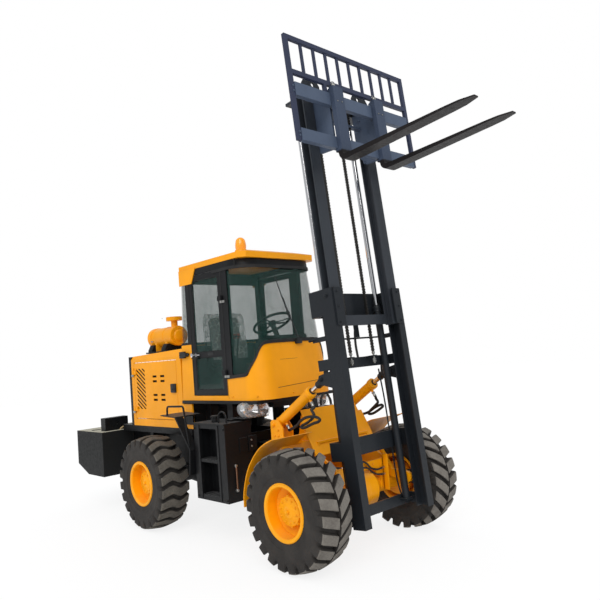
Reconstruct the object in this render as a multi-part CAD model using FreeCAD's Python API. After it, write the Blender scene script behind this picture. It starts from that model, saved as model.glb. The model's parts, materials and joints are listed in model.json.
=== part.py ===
"""Four-wheel-drive articulated diesel forklift: one STEP file per sub-part.

Millimetres. +Z is up, -Y is the direction of travel and +X is the machine's left.
Pieces are drawn with the front axle over Y = 0, AXLE_Z above Z = 0, and every piece
is moved along Y and Z at export, so that the origin lies on the ground under the
middle of the machine's length. The mast is drawn upright in its own frame, with Y = 0 on the front
faces of its outer channels and Z = 0 at their feet, and is then leaned back.
"""
import FreeCAD
import Part
import math
import os

Vector = FreeCAD.Vector

# ---------------------------------------------------------------- wheels and axles
TYRE_RADIUS = 485.0
TYRE_WIDTH = 330.0
RIM_SEAT_RADIUS = 212.0
RIM_FLANGE_RADIUS = 227.0
AXLE_Z = 460.0
RIM_INSET = 16.0
RIM_HALF_WIDTH = TYRE_WIDTH / 2 - RIM_INSET
WHEEL_TRACK = 1446.0
WHEELBASE = 2280.0
HUB_RADIUS = 122.0
SPINDLE_RADIUS = 60.0
SPINDLE_FIT = 0.05
BEAD_GAP = 0.35
AXLE_TUBE_RADIUS = 75.0
DIFFERENTIAL_RADIUS = 170.0
BRAKE_DRUM_RADIUS = 150.0

# ---------------------------------------------------------------- articulation
PIVOT_Y = 1140.0
PIVOT_PIN_RADIUS = 32.0
PIN_FIT = 0.05
TONGUE_THICKNESS = 32.0
TONGUE_LOW_Z = 430.0
TONGUE_HIGH_Z = 760.0
TONGUE_GAP = 6.0
TONGUE_RADIUS = 85.0
STEER_PIN_Z = 610.0
STEER_FRONT = (177.0, PIVOT_Y - 177.0)
STEER_REAR = (200.0, PIVOT_Y + 500.0)
STEER_BARREL_RADIUS = 34.0
STEER_ROD_RADIUS = 18.0

# ---------------------------------------------------------------- front frame
TOWER_HALF_WIDTH = 330.0
TOWER_PLATE = 20.0
TOWER_BACK_Y = 590.0
TOWER_TOP_Z = 930.0
BEAM_HALF_WIDTH = 190.0
STEER_WINDOW = (92.0, 285.0)
FRONT_SHEET_HALF_WIDTH = 400.0
FRONT_SHEET_LOW = (60.0, 815.0)
FRONT_SHEET_HIGH = (268.0, 1200.0)
FRONT_SHEET_PLATE = 8.0
FRONT_SHEET_NOTCH = (356.0, 1115.0)
FENDER_OUTER_X = 860.0
FENDER_REAR_INNER_X = 590.0
FENDER_PLATE = 6.0

# ---------------------------------------------------------------- mast
MAST_LEAN = 4.78
MAST_PIVOT_Y = -263.5
MAST_PIVOT_Z = 524.5
MAST_PIVOT_BACK = 200.0
MAST_PIVOT_UP = 250.0
MAST_PIN_RADIUS = 25.0
MAST_HALF_WIDTH = 456.0
OUTER_LENGTH = 1940.0
OUTER_FLANGE = 79.0
OUTER_DEPTH = 131.0
OUTER_PLATE = 12.0
RAIL_GAP = 7.0
INNER_FLANGE_EDGE_X = 320.0
INNER_WEB_X = 355.0
INNER_PLATE = 12.0
HEAD_PLATE_INNER_X = 215.0
HEAD_HOLE_X = 300.0
LIFT_TRAVEL = 1600.0
INNER_LENGTH = 2110.0
INNER_FOOT = 1620.0
LIFT_X = 345.0
LIFT_BACK = 205.0
LIFT_BARREL_RADIUS = 33.0
LIFT_ROD_RADIUS = 22.5
CROSS_GAP = 7.0
CROSS_BACK = LIFT_BACK + LIFT_BARREL_RADIUS + CROSS_GAP
CROSS_PLATE = 20.0
CHAIN_X = 150.0
CHAIN_WHEEL_RADIUS = 56.0
CHAIN_WHEEL_WIDTH = 24.0
CHAIN_WHEEL_BACK = 101.0
ROLLER_GAP = 0.4

# ---------------------------------------------------------------- carriage and forks
CARRIAGE_HALF_WIDTH = 735.0
CARRIAGE_FACE = 200.0
CARRIAGE_BAR = 45.0
CARRIAGE_LOW_BAR = (3090.0, 3195.0)
CARRIAGE_HIGH_BAR = (3475.0, 3590.0)
BACKREST_TOP = 4010.0
BACKREST_MID = 3665.0
BACKREST_POST = 40.0
BACKREST_RAIL = 40.0
BACKREST_BARS = 9
FORK_X = 270.0
FORK_WIDTH = 122.0
FORK_THICK = 45.0
FORK_LENGTH = 1220.0
FORK_SHANK_TOP = 3640.0
FORK_HEEL = 2975.0
FORK_HEEL_RADIUS = 66.0
FORK_GAP = 1.0

# ---------------------------------------------------------------- tilt cylinders
TILT_X = 410.0
TILT_BASE_Y = 510.0
TILT_BASE_Z = 1080.0
TILT_EYE_BACK = 265.0
TILT_EYE_UP = 1205.0
TILT_BARREL_RADIUS = 45.0
TILT_ROD_RADIUS = 22.0
TILT_BARREL_LENGTH = 545.0
TILT_PIN_RADIUS = 16.0
TILT_EYE_CLEARANCE = 5.0

# ---------------------------------------------------------------- cab
CAB_HALF_WIDTH = 500.0
CAB_LOW_Z = 1297.0
CAB_HIGH_Z = 2665.0
CAB_FRONT_LOW_Y = 615.0
CAB_FRONT_HIGH_Y = 800.0
CAB_REAR_LOW_Y = 1950.0
CAB_REAR_HIGH_Y = 1860.0
CAB_CORNER_RADIUS = 210.0
CAB_SKIN = 28.0
CAB_BELT_Z = 1826.0
CAB_SILL_Z = 1345.0
CAB_HEADER_Z = 2600.0
WINDOW_LOW_Z = 1535.0
COWL_STEP_LOW_Y = 805.0
COWL_STEP_MID = (730.0, 1700.0)
COWL_STEP_HIGH_Y = 705.0
PILLAR_FRONT_Y = 1035.0
DOOR_FRONT_Y = 1130.0
DOOR_REAR_Y = 1715.0
QUARTER_WINDOW_Y = 1780.0
QUARTER_SILL_Z = 1880.0
DOOR_GAP = 6.0
DOOR_FRAME = 55.0
DOOR_RAIL_Z = 1790.0
GLASS = 8.0
GLASS_GAP = 0.3
HINGE_RADIUS = 11.0
HINGE_STAND = 14.0
FLOOR_PLATE = 30.0
ROOF_PLATE = 58.0
ROOF_CROWN = 42.0
ROOF_FRONT_Y = 770.0
ROOF_REAR_Y = 1870.0

# ---------------------------------------------------------------- rear frame
HOOD_HALF_WIDTH = 500.0
HOOD_FRONT_Y = 1955.0
HOOD_REAR_Y = 3060.0
HOOD_LOW_Z = 1000.0
HOOD_FRONT_Z = 1853.0
HOOD_REAR_Z = 1815.0
HOOD_SHEET = 20.0
HOOD_APRON_Y = 1785.0
HOOD_CHAMFER = 45.0
BAY_DOOR_FRONT_Y = 2050.0
BAY_DOOR_REAR_Y = 3000.0
BAY_DOOR_LOW_Z = 1080.0
BAY_DOOR_HIGH_Z = 1740.0
BAY_SLOT_YS = (2355.0, 2524.0)
LOUVRE_LOW = (2745.0, 1195.0)
LOUVRE_HIGH = (2945.0, 1665.0)
LOUVRE_FALL = 125.0
LOUVRE_COUNT = 12
SHROUD_DEPTH = 55.0
RAIL_X = 300.0
RAIL_PLATE = 24.0
RAIL_LOW_Z = 560.0
RAIL_HIGH_Z = 930.0
WEIGHT_HALF_WIDTH = 750.0
WEIGHT_FRONT_Y = 3410.0
WEIGHT_REAR_Y = 4133.0
WEIGHT_LOW_Z = 400.0
WEIGHT_HIGH_Z = 930.0
WEIGHT_CHAMFER_Y = 290.0
WEIGHT_CHAMFER_Z = 115.0
LIFT_BLOCK_X = (355.0, 660.0)
LIFT_PIN_HOLE_RADIUS = 14.0
TANK_OUTER_X = 750.0
TANK_INNER_X = 440.0
TANK_FRONT_Y = 885.0
TANK_REAR_Y = 1392.0
TANK_LOW_Z = 392.0
TANK_HIGH_Z = 1100.0
LADDER_FRONT_Y = 1000.0
LADDER_REAR_Y = 1310.0
LADDER_DEPTH = 130.0
GUARD_OUTER_X = 800.0
GUARD_PLATE = 10.0


# ---------------------------------------------------------------- shape helpers
def box(x0, x1, y0, y1, z0, z1):
    """Block between two corners."""
    return Part.makeBox(x1 - x0, y1 - y0, z1 - z0, Vector(x0, y0, z0))


def loop(points):
    """Closed wire through points."""
    return Part.makePolygon(list(points) + [points[0]])


def prism_x(points, x0, x1):
    """Outline of (y, z) points drawn out from x0 to x1."""
    face = Part.Face(loop([Vector(x0, y, z) for y, z in points]))
    return face.extrude(Vector(x1 - x0, 0, 0))


def prism_y(points, y0, y1):
    """Outline of (x, z) points drawn out from y0 to y1."""
    face = Part.Face(loop([Vector(x, y0, z) for x, z in points]))
    return face.extrude(Vector(0, y1 - y0, 0))


def prism_z(points, z0, z1):
    """Outline of (x, y) points drawn out from z0 to z1."""
    face = Part.Face(loop([Vector(x, y, z0) for x, y in points]))
    return face.extrude(Vector(0, 0, z1 - z0))


def bar(start, end, radius):
    """Round bar between two points."""
    along = end - start
    return Part.makeCylinder(radius, along.Length, start, along)


def pipe(start, end, outer, inner):
    """Round tube between two points."""
    return bar(start, end, outer).cut(bar(start, end, inner))


def fused(*pieces):
    """One solid from pieces that meet."""
    first, rest = pieces[0], list(pieces[1:])
    return first.fuse(rest).removeSplitter() if rest else first


def mirrored(shape):
    """The same shape on the other side of the machine."""
    return shape.mirror(Vector(0, 0, 0), Vector(1, 0, 0))


def pair(shape):
    """A shape and its mirror image."""
    return Part.makeCompound([shape, mirrored(shape)])


def turned(profile, y=0.0, z=0.0):
    """Solid turned about an X line through (y, z) from (x, radius) points."""
    face = Part.Face(loop([Vector(x, y, z + r) for x, r in profile]))
    return face.revolve(Vector(0, y, z), Vector(1, 0, 0), 360)


def bent_path(points, radius):
    """Wire of straight runs joined by tangent arcs of one radius."""
    edges, here = [], points[0]
    for before, corner, after in zip(points, points[1:], points[2:]):
        back = (before - corner).normalize()
        ahead = (after - corner).normalize()
        half = back.getAngle(ahead) / 2
        reach = radius / math.tan(half)
        first = corner + back * reach
        last = corner + ahead * reach
        bisector = (back + ahead).normalize()
        middle = corner + bisector * (radius / math.sin(half) - radius)
        edges += [Part.LineSegment(here, first).toShape(), Part.Arc(first, middle, last).toShape()]
        here = last
    edges.append(Part.LineSegment(here, points[-1]).toShape())
    return Part.Wire(edges)


def bent_bar(points, radius, bend):
    """Round bar bent along points."""
    path = bent_path(points, bend)
    ring = Part.Wire(Part.makeCircle(radius, points[0], points[1] - points[0]))
    return path.makePipeShell([ring], True, False)


def eye(centre, axis, outer, inner, width):
    """Ring of a width, centred on a point."""
    start = centre - axis * (width / 2)
    return pipe(start, start + axis * width, outer, inner)


def leaned(shape):
    """A piece of the upright mast, leaned back about the mast's pivot."""
    shape = shape.copy()
    shape.translate(Vector(0, -MAST_PIVOT_BACK, -MAST_PIVOT_UP))
    shape.rotate(Vector(0, 0, 0), Vector(1, 0, 0), -MAST_LEAN)
    shape.translate(Vector(0, MAST_PIVOT_Y, MAST_PIVOT_Z))
    return shape


def leaned_point(x, back, up):
    """Place on the machine of a point of the upright mast."""
    lean = math.radians(MAST_LEAN)
    y, z = back - MAST_PIVOT_BACK, up - MAST_PIVOT_UP
    return Vector(x, MAST_PIVOT_Y + y * math.cos(lean) + z * math.sin(lean),
                  MAST_PIVOT_Z - y * math.sin(lean) + z * math.cos(lean))


# ---------------------------------------------------------------- wheels and axles
def tyre(axle_y):
    """Left tyre, with a rounded tread and bulged sidewalls."""
    inner = RIM_SEAT_RADIUS + BEAD_GAP
    half, middle = TYRE_WIDTH / 2, WHEEL_TRACK / 2
    bead, shoulder, crown_drop = half - 42.0, half - 22.0, 34.0

    def point(u, r):
        return Vector(middle + u, axle_y, AXLE_Z + r)

    tread = TYRE_RADIUS - crown_drop
    edges = [
        Part.LineSegment(point(-bead, inner), point(bead, inner)),
        Part.Arc(point(bead, inner), point(half, (inner + tread) / 2), point(shoulder, tread)),
        Part.Arc(point(shoulder, tread), point(0, TYRE_RADIUS), point(-shoulder, tread)),
        Part.Arc(point(-shoulder, tread), point(-half, (inner + tread) / 2), point(-bead, inner)),
    ]
    face = Part.Face(Part.Wire([edge.toShape() for edge in edges]))
    return face.revolve(Vector(0, axle_y, AXLE_Z), Vector(1, 0, 0), 360)


def rim(axle_y):
    """Left rim: barrel, dished disc and hub with a blind bore for the spindle."""
    lip, seat, flange = RIM_HALF_WIDTH, RIM_SEAT_RADIUS, RIM_FLANGE_RADIUS
    well = seat - 13.0
    bore = SPINDLE_RADIUS + SPINDLE_FIT
    profile = [
        (lip + 6, flange), (lip, flange), (lip - 9, seat), (9 - lip, seat), (-lip, flange),
        (-lip - 6, flange), (-lip - 6, well + 6), (-lip + 6, well), (18, well), (-14, HUB_RADIUS),
        (-70, HUB_RADIUS), (-70, bore), (20, bore), (20, 0), (96, 0), (96, 44), (86, 70),
        (60, 74), (60, HUB_RADIUS), (4, HUB_RADIUS + 4), (40, well), (lip - 6, well), (lip + 6, well + 6),
    ]
    middle = WHEEL_TRACK / 2
    return turned([(middle + u, r) for u, r in profile], axle_y, AXLE_Z)


def axle(axle_y, flange_side):
    """Driven axle: tubes, differential, brake drums, spindles and seats for the frame."""
    half = WHEEL_TRACK / 2
    drum = (half - 163.0, half - 84.0)
    profile = [
        (0, 0), (half + 14, 0), (half + 14, SPINDLE_RADIUS), (drum[1], SPINDLE_RADIUS),
        (drum[1], BRAKE_DRUM_RADIUS), (drum[0], BRAKE_DRUM_RADIUS), (drum[0], AXLE_TUBE_RADIUS),
        (250, AXLE_TUBE_RADIUS), (165, 118), (110, DIFFERENTIAL_RADIUS), (0, DIFFERENTIAL_RADIUS + 8),
    ]
    side = turned(profile, axle_y, AXLE_Z)
    nose = bar(Vector(60, axle_y, AXLE_Z), Vector(60, axle_y + flange_side * 300, AXLE_Z), 82)
    flange = bar(Vector(60, axle_y + flange_side * 300, AXLE_Z),
                 Vector(60, axle_y + flange_side * 318, AXLE_Z), 62)
    pads = [box(x - 55, x + 55, axle_y - 75, axle_y + 75, AXLE_Z - 20, RAIL_LOW_Z)
            for x in (-RAIL_X - 10, RAIL_X + 10)]
    return fused(side, mirrored(side), nose, flange, *pads)


# ---------------------------------------------------------------- front frame
def tongue(z):
    """One ear of the front frame at the articulation pin."""
    plate = box(-BEAM_HALF_WIDTH + 40, BEAM_HALF_WIDTH - 40, PIVOT_Y - 260, PIVOT_Y, z, z + TONGUE_THICKNESS)
    nose = Part.makeCylinder(TONGUE_RADIUS, TONGUE_THICKNESS, Vector(0, PIVOT_Y, z))
    hole = Part.makeCylinder(PIVOT_PIN_RADIUS + PIN_FIT, TONGUE_THICKNESS, Vector(0, PIVOT_Y, z))
    side = box(-TONGUE_RADIUS, TONGUE_RADIUS, PIVOT_Y - 260, PIVOT_Y, z, z + TONGUE_THICKNESS)
    wide = plate.cut(box(-400, 400, PIVOT_Y - 150, PIVOT_Y, z - 1, z + TONGUE_THICKNESS + 1))
    return fused(wide, side, nose).cut(hole)


def mast_ear():
    """Left bracket of the front frame with the mast's pivot pin."""
    x0, x1 = MAST_HALF_WIDTH - 71, MAST_HALF_WIDTH - 36
    outline = [(MAST_PIVOT_Y, MAST_PIVOT_Z - 48), (140, RAIL_LOW_Z + 10), (140, 780), (20, 780),
               (-100, MAST_PIVOT_Z + 60), (MAST_PIVOT_Y, MAST_PIVOT_Z + 48)]
    cheek = prism_x(outline, x0, x1)
    nose = bar(Vector(x0, MAST_PIVOT_Y, MAST_PIVOT_Z), Vector(x1, MAST_PIVOT_Y, MAST_PIVOT_Z), 48)
    pin = bar(Vector(x1, MAST_PIVOT_Y, MAST_PIVOT_Z),
              Vector(MAST_HALF_WIDTH + 6, MAST_PIVOT_Y, MAST_PIVOT_Z), MAST_PIN_RADIUS)
    tie = box(TOWER_HALF_WIDTH - 2, x0 + 5, 60, 140, RAIL_LOW_Z + 40, 780)
    return fused(cheek, nose, pin, tie)


def tilt_ears():
    """Left pair of ears for a tilt cylinder's base, on their shelf, with the pin."""
    half_gap, thick = TILT_BARREL_RADIUS + 6, 12.0
    ears = []
    for x in (TILT_X - half_gap - thick, TILT_X + half_gap):
        outline = [(TILT_BASE_Y - 120, 940), (TILT_BASE_Y + 44, 940), (TILT_BASE_Y + 44, TILT_BASE_Z + 20),
                   (TILT_BASE_Y + 20, TILT_BASE_Z + 44), (TILT_BASE_Y - 60, TILT_BASE_Z + 44),
                   (TILT_BASE_Y - 120, TILT_BASE_Z - 30)]
        ears.append(prism_x(outline, x, x + thick))
    shelf = box(TOWER_HALF_WIDTH - 40, TILT_X + half_gap + thick, TILT_BASE_Y - 200, TILT_BASE_Y + 44, 905, 945)
    pin = bar(Vector(TILT_X - half_gap, TILT_BASE_Y, TILT_BASE_Z),
              Vector(TILT_X + half_gap, TILT_BASE_Y, TILT_BASE_Z), TILT_PIN_RADIUS)
    return fused(shelf, pin, *ears)


def front_sheet():
    """Sloping sheet across the front of the tower."""
    (y0, z0), (y1, z1) = FRONT_SHEET_LOW, FRONT_SHEET_HIGH
    outline = [(y0, z0), (y1, z1), (y1 + FRONT_SHEET_PLATE, z1), (y0 + FRONT_SHEET_PLATE, z0)]
    sheet = prism_x(outline, -FRONT_SHEET_HALF_WIDTH, FRONT_SHEET_HALF_WIDTH)
    edge, top = FRONT_SHEET_NOTCH
    notch = box(edge, FRONT_SHEET_HALF_WIDTH + 1, 0, 400, top, z1 + 1)
    sheet = sheet.cut(notch).cut(mirrored(notch))
    rib_outline = [(y0 + 4, z0), (y1 + 4, z1 - 20), (y1 + 60, z1 - 60), (y1 + 120, TOWER_TOP_Z - 20),
                   (y0 + 120, TOWER_TOP_Z - 20), (y0 + 120, z0)]
    ribs = [prism_x(rib_outline, x, x + 10) for x in (-300.0, -5.0, 290.0)]
    return fused(sheet, *ribs)


def front_chassis():
    """Front frame: tower, centre beam, articulation ears, mast and tilt brackets."""
    side = [(-90, RAIL_LOW_Z), (TOWER_BACK_Y, RAIL_LOW_Z), (TOWER_BACK_Y, TOWER_TOP_Z),
            (100, TOWER_TOP_Z), (100, 815), (-90, 700)]
    plates = [prism_x(side, x, x + TOWER_PLATE)
              for x in (-TOWER_HALF_WIDTH, TOWER_HALF_WIDTH - TOWER_PLATE)]
    half = TOWER_HALF_WIDTH - 1
    top = box(-half, half, 100, TOWER_BACK_Y, TOWER_TOP_Z - 20, TOWER_TOP_Z)
    back = box(-half, half, TOWER_BACK_Y - 20, TOWER_BACK_Y, RAIL_LOW_Z, TOWER_TOP_Z)
    front = box(-half, half, -90, -74, RAIL_LOW_Z, 700)
    beam_low, beam_high = TONGUE_LOW_Z, TONGUE_HIGH_Z + TONGUE_THICKNESS
    beam = box(-BEAM_HALF_WIDTH, BEAM_HALF_WIDTH, TOWER_BACK_Y - 20, PIVOT_Y - 255, beam_low, beam_high)
    hollow = box(-BEAM_HALF_WIDTH + 20, BEAM_HALF_WIDTH - 20, TOWER_BACK_Y, PIVOT_Y - 275,
                 beam_low + 20, beam_high - 20)
    horns = []
    for x in (-STEER_FRONT[0], STEER_FRONT[0]):
        for z in (STEER_PIN_Z - 42, STEER_PIN_Z + 24):
            horn = box(x - 32, x + 32, PIVOT_Y - 262, STEER_FRONT[1] + 34, z, z + 18)
            horns.append(horn)
    pieces = plates + [top, back, front, beam.cut(hollow), tongue(TONGUE_LOW_Z), tongue(TONGUE_HIGH_Z)]
    pieces += horns + [front_sheet()]
    for bracket in (mast_ear(), tilt_ears()):
        pieces += [bracket, mirrored(bracket)]
    shape = fused(*pieces)
    room = DIFFERENTIAL_RADIUS + 22
    return shape.cut(bar(Vector(-175, 0, AXLE_Z), Vector(175, 0, AXLE_Z), room))


def front_fender():
    """Left front mudguard: a sheet rolled behind and over the wheel."""
    t = FENDER_PLATE
    outer = [(515, 438), (505, 560), (448, 720), (365, 842), (240, 955), (90, 1022)]
    curve = Part.BSplineCurve()
    curve.interpolate([Vector(0, y, z) for y, z in outer])
    path = curve.toShape()
    inner_curve = Part.BSplineCurve()
    inner_curve.interpolate([Vector(0, y + t * 0.85, z + t * 0.6) for y, z in outer])
    far = inner_curve.toShape()
    ends = [Part.LineSegment(Vector(0, *outer[0]), Vector(0, outer[0][0] + t * 0.85, outer[0][1] + t * 0.6)),
            Part.LineSegment(Vector(0, *outer[-1]), Vector(0, outer[-1][0] + t * 0.85, outer[-1][1] + t * 0.6))]
    face = Part.Face(Part.Wire(Part.__sortEdges__([path, far, ends[0].toShape(), ends[1].toShape()])))
    face.translate(Vector(FRONT_SHEET_HALF_WIDTH, 0, 0))
    sheet = face.extrude(Vector(FENDER_OUTER_X - FRONT_SHEET_HALF_WIDTH, 0, 0))
    inner = box(0, FENDER_REAR_INNER_X, 300, 700, 0, 1100)
    return sheet.cut(inner)


# ---------------------------------------------------------------- steering cylinders
def steer_frame():
    """Left steering cylinder's rear pin, front eye and unit direction."""
    rear = Vector(STEER_REAR[0], STEER_REAR[1], STEER_PIN_Z)
    front = Vector(STEER_FRONT[0], STEER_FRONT[1], STEER_PIN_Z)
    return rear, front, (front - rear).normalize()


def steer_barrel():
    """Left steering cylinder's barrel, with an eye on the rear frame's pin."""
    rear, _, along = steer_frame()
    up = Vector(0, 0, 1)
    ring = eye(rear, up, 36, 20 + PIN_FIT, 44)
    body = bar(rear + along * 50, rear + along * 440, STEER_BARREL_RADIUS)
    neck = bar(rear + along * 25, rear + along * 60, STEER_BARREL_RADIUS - 14)
    bore = bar(rear + along * 80, rear + along * 441, STEER_ROD_RADIUS + 0.1)
    return fused(ring, body, neck).cut(bar(rear - up * 50, rear + up * 50, 20 + PIN_FIT)).cut(bore)


def steer_rod():
    """Left steering cylinder's rod, with an open eye at the front frame's horn."""
    rear, front, along = steer_frame()
    up = Vector(0, 0, 1)
    body = bar(rear + along * 250, front - along * 26, STEER_ROD_RADIUS)
    return fused(body, eye(front, up, 32, 18, 40))


# ---------------------------------------------------------------- tilt cylinders
def tilt_frame():
    """Left tilt cylinder's base pin, rod eye and unit direction."""
    base = Vector(TILT_X, TILT_BASE_Y, TILT_BASE_Z)
    end = leaned_point(TILT_X, TILT_EYE_BACK, TILT_EYE_UP)
    return base, end, (end - base).normalize()


def tilt_barrel():
    """Left tilt cylinder's barrel with its gland, base eye and ports."""
    base, _, along = tilt_frame()
    across = Vector(1, 0, 0)
    ring = eye(base, across, 40, TILT_PIN_RADIUS + PIN_FIT, 2 * TILT_BARREL_RADIUS - 8)
    body = bar(base + along * 30, base + along * TILT_BARREL_LENGTH, TILT_BARREL_RADIUS)
    gland = bar(base + along * (TILT_BARREL_LENGTH - 34), base + along * TILT_BARREL_LENGTH,
                TILT_BARREL_RADIUS + 5)
    down = Vector(0, along.z, -along.y)
    down = down if down.z < 0 else -down
    ports = [bar(base + along * s, base + along * s + down * (TILT_BARREL_RADIUS + 30), 13)
             for s in (95, TILT_BARREL_LENGTH - 60)]
    bore = bar(base + along * 70, base + along * (TILT_BARREL_LENGTH + 1), TILT_ROD_RADIUS + 0.1)
    pin_hole = bar(base - across * 60, base + across * 60, TILT_PIN_RADIUS + PIN_FIT)
    return fused(ring, body, gland, *ports).cut(bore).cut(pin_hole)


def tilt_rod():
    """Left tilt cylinder's rod with its open eye."""
    base, end, along = tilt_frame()
    across = Vector(1, 0, 0)
    body = bar(base + along * 330, end - along * 30, TILT_ROD_RADIUS)
    collar = bar(end - along * 66, end - along * 28, 25)
    ring = eye(end, across, 38, TILT_PIN_RADIUS + TILT_EYE_CLEARANCE, 42)
    hole = bar(end - across * 60, end + across * 60, TILT_PIN_RADIUS + TILT_EYE_CLEARANCE)
    return fused(body, collar, ring).cut(hole)


# ---------------------------------------------------------------- mast
def outer_rail():
    """Left channel of the outer mast, open towards the middle."""
    x1, x0 = MAST_HALF_WIDTH, MAST_HALF_WIDTH - OUTER_FLANGE
    web = box(x1 - OUTER_PLATE, x1, 0, OUTER_DEPTH, 0, OUTER_LENGTH)
    front = box(x0, x1, 0, OUTER_PLATE, 0, OUTER_LENGTH)
    back = box(x0, x1, OUTER_DEPTH - OUTER_PLATE, OUTER_DEPTH, 0, OUTER_LENGTH)
    return fused(web, front, back)


def roller(x0, x1, back, up, radius):
    """Roller with its axis across the mast."""
    return bar(Vector(x0, back, up), Vector(x1, back, up), radius)


def inner_roller_radius():
    """Radius of a roller between the inner rail's flanges."""
    return OUTER_DEPTH / 2 - OUTER_PLATE - RAIL_GAP - INNER_PLATE - ROLLER_GAP


def outer_brackets():
    """Left side brackets of the outer mast: pivot, tilt lugs, guide plates and roller."""
    x1 = MAST_HALF_WIDTH
    centre = OUTER_DEPTH / 2
    lug = box(x1 - 30, x1, OUTER_DEPTH - 2, MAST_PIVOT_BACK, MAST_PIVOT_UP - 60, MAST_PIVOT_UP + 60)
    nose = bar(Vector(x1 - 30, MAST_PIVOT_BACK, MAST_PIVOT_UP), Vector(x1, MAST_PIVOT_BACK, MAST_PIVOT_UP), 60)
    hole = bar(Vector(x1 - 40, MAST_PIVOT_BACK, MAST_PIVOT_UP),
               Vector(x1 + 20, MAST_PIVOT_BACK, MAST_PIVOT_UP), MAST_PIN_RADIUS + PIN_FIT)
    tilt_outline = [(OUTER_DEPTH - 2, TILT_EYE_UP - 85), (TILT_EYE_BACK + 20, TILT_EYE_UP - 40),
                    (TILT_EYE_BACK + 34, TILT_EYE_UP), (TILT_EYE_BACK + 20, TILT_EYE_UP + 34),
                    (OUTER_DEPTH - 2, TILT_EYE_UP + 60)]
    inner_outline = [(CROSS_BACK, 1300), (CROSS_BACK, TILT_EYE_UP - 40), (TILT_EYE_BACK + 20, TILT_EYE_UP - 40),
                     (TILT_EYE_BACK + 34, TILT_EYE_UP), (TILT_EYE_BACK + 20, 1300)]
    lugs = [prism_x(inner_outline, TILT_X - 40, TILT_X - 28), prism_x(tilt_outline, TILT_X + 28, TILT_X + 40)]
    pin = bar(Vector(TILT_X - 40, TILT_EYE_BACK, TILT_EYE_UP),
              Vector(TILT_X + 40, TILT_EYE_BACK, TILT_EYE_UP), TILT_PIN_RADIUS)
    guide = box(INNER_FLANGE_EDGE_X + 15, x1 - 20, -12, 1, OUTER_LENGTH - 320, OUTER_LENGTH)
    wheel = roller(INNER_WEB_X + INNER_PLATE + 8, x1 - OUTER_PLATE + 1, centre, OUTER_LENGTH - 60,
                   inner_roller_radius())
    return [fused(lug, nose).cut(hole), fused(pin, *lugs), guide, wheel]


def cross_member(low, high, plate=CROSS_PLATE):
    """Cross plate behind the outer rails, with its side brackets."""
    back = CROSS_BACK
    x1 = MAST_HALF_WIDTH
    across = box(-x1, x1, back, back + plate, low, high)
    cheek = box(x1 - 22, x1, OUTER_DEPTH - 2, back + 2, low, high)
    return fused(across, cheek, mirrored(cheek))


def outer_mast():
    """Outer mast: two rails, four cross members and every bracket."""
    pieces = [outer_rail(), mirrored(outer_rail())]
    for bracket in outer_brackets():
        pieces += [bracket, mirrored(bracket)]
    for low, high in ((20, 110), (530, 680), (1272, 1362), (OUTER_LENGTH - 220, OUTER_LENGTH)):
        pieces.append(cross_member(low, high))
    for x in (-CHAIN_X, CHAIN_X):
        pieces.append(box(x - 30, x + 30, 150, CROSS_BACK + 2, 1350, 1362))
    pieces.append(bar(Vector(-MAST_HALF_WIDTH - 40, 285, 1535), Vector(MAST_HALF_WIDTH + 40, 285, 1535), 8))
    for x in (-MAST_HALF_WIDTH + 6, MAST_HALF_WIDTH - 22):
        pieces.append(box(x, x + 16, OUTER_DEPTH - 2, 300, 1515, 1555))
    pieces.append(box(35, 95, CROSS_BACK + 1, CROSS_BACK + 9, OUTER_LENGTH - 400, OUTER_LENGTH - 200))
    foot = box(LIFT_X - 40, LIFT_X + 40, LIFT_BACK - 38, CROSS_BACK + 2, 60, 78)
    pieces += [foot, mirrored(foot)]
    return leaned(fused(*pieces))


def lift_barrel():
    """Left lift cylinder's barrel, standing on the lowest cross member."""
    foot, top = 78.3, OUTER_LENGTH - 140
    body = bar(Vector(LIFT_X, LIFT_BACK, foot), Vector(LIFT_X, LIFT_BACK, top), LIFT_BARREL_RADIUS)
    gland = bar(Vector(LIFT_X, LIFT_BACK, top - 40), Vector(LIFT_X, LIFT_BACK, top), LIFT_BARREL_RADIUS + 4)
    bore = bar(Vector(LIFT_X, LIFT_BACK, foot + 20), Vector(LIFT_X, LIFT_BACK, top + 1), LIFT_ROD_RADIUS + 0.1)
    return fused(body, gland).cut(bore)


def inner_rail():
    """Left rail of the inner mast, with its flanges inside the outer channel."""
    y0, y1 = OUTER_PLATE + RAIL_GAP, OUTER_DEPTH - OUTER_PLATE - RAIL_GAP
    x0, x1 = INNER_FLANGE_EDGE_X, MAST_HALF_WIDTH - OUTER_PLATE - RAIL_GAP
    z0, z1 = INNER_FOOT, INNER_FOOT + INNER_LENGTH
    web = box(INNER_WEB_X, INNER_WEB_X + INNER_PLATE, y0, y1, z0, z1)
    front = box(x0, x1, y0, y0 + INNER_PLATE, z0, z1)
    back = box(x0, x1, y1 - INNER_PLATE, y1, z0, z1)
    wheel = roller(INNER_WEB_X + 2, x1, OUTER_DEPTH / 2, z0 + 60, OUTER_DEPTH / 2 - OUTER_PLATE - ROLLER_GAP)
    return fused(web, front, back, wheel)


def inner_top():
    """Left plate at the head of the inner mast, with its lifting hole."""
    top = INNER_FOOT + INNER_LENGTH
    y = OUTER_PLATE + RAIL_GAP
    outline = [(HEAD_PLATE_INNER_X, top - 90), (MAST_HALF_WIDTH - 20, top - 90),
               (MAST_HALF_WIDTH - 20, top + 25), (MAST_HALF_WIDTH - 60, top + 85),
               (HEAD_PLATE_INNER_X + 30, top + 85), (HEAD_PLATE_INNER_X, top + 40)]
    plate = prism_y(outline, y - 10, y + 2)
    hole = bar(Vector(HEAD_HOLE_X, y - 20, top + 40), Vector(HEAD_HOLE_X, y + 20, top + 40), 18)
    return plate.cut(hole)


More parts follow.
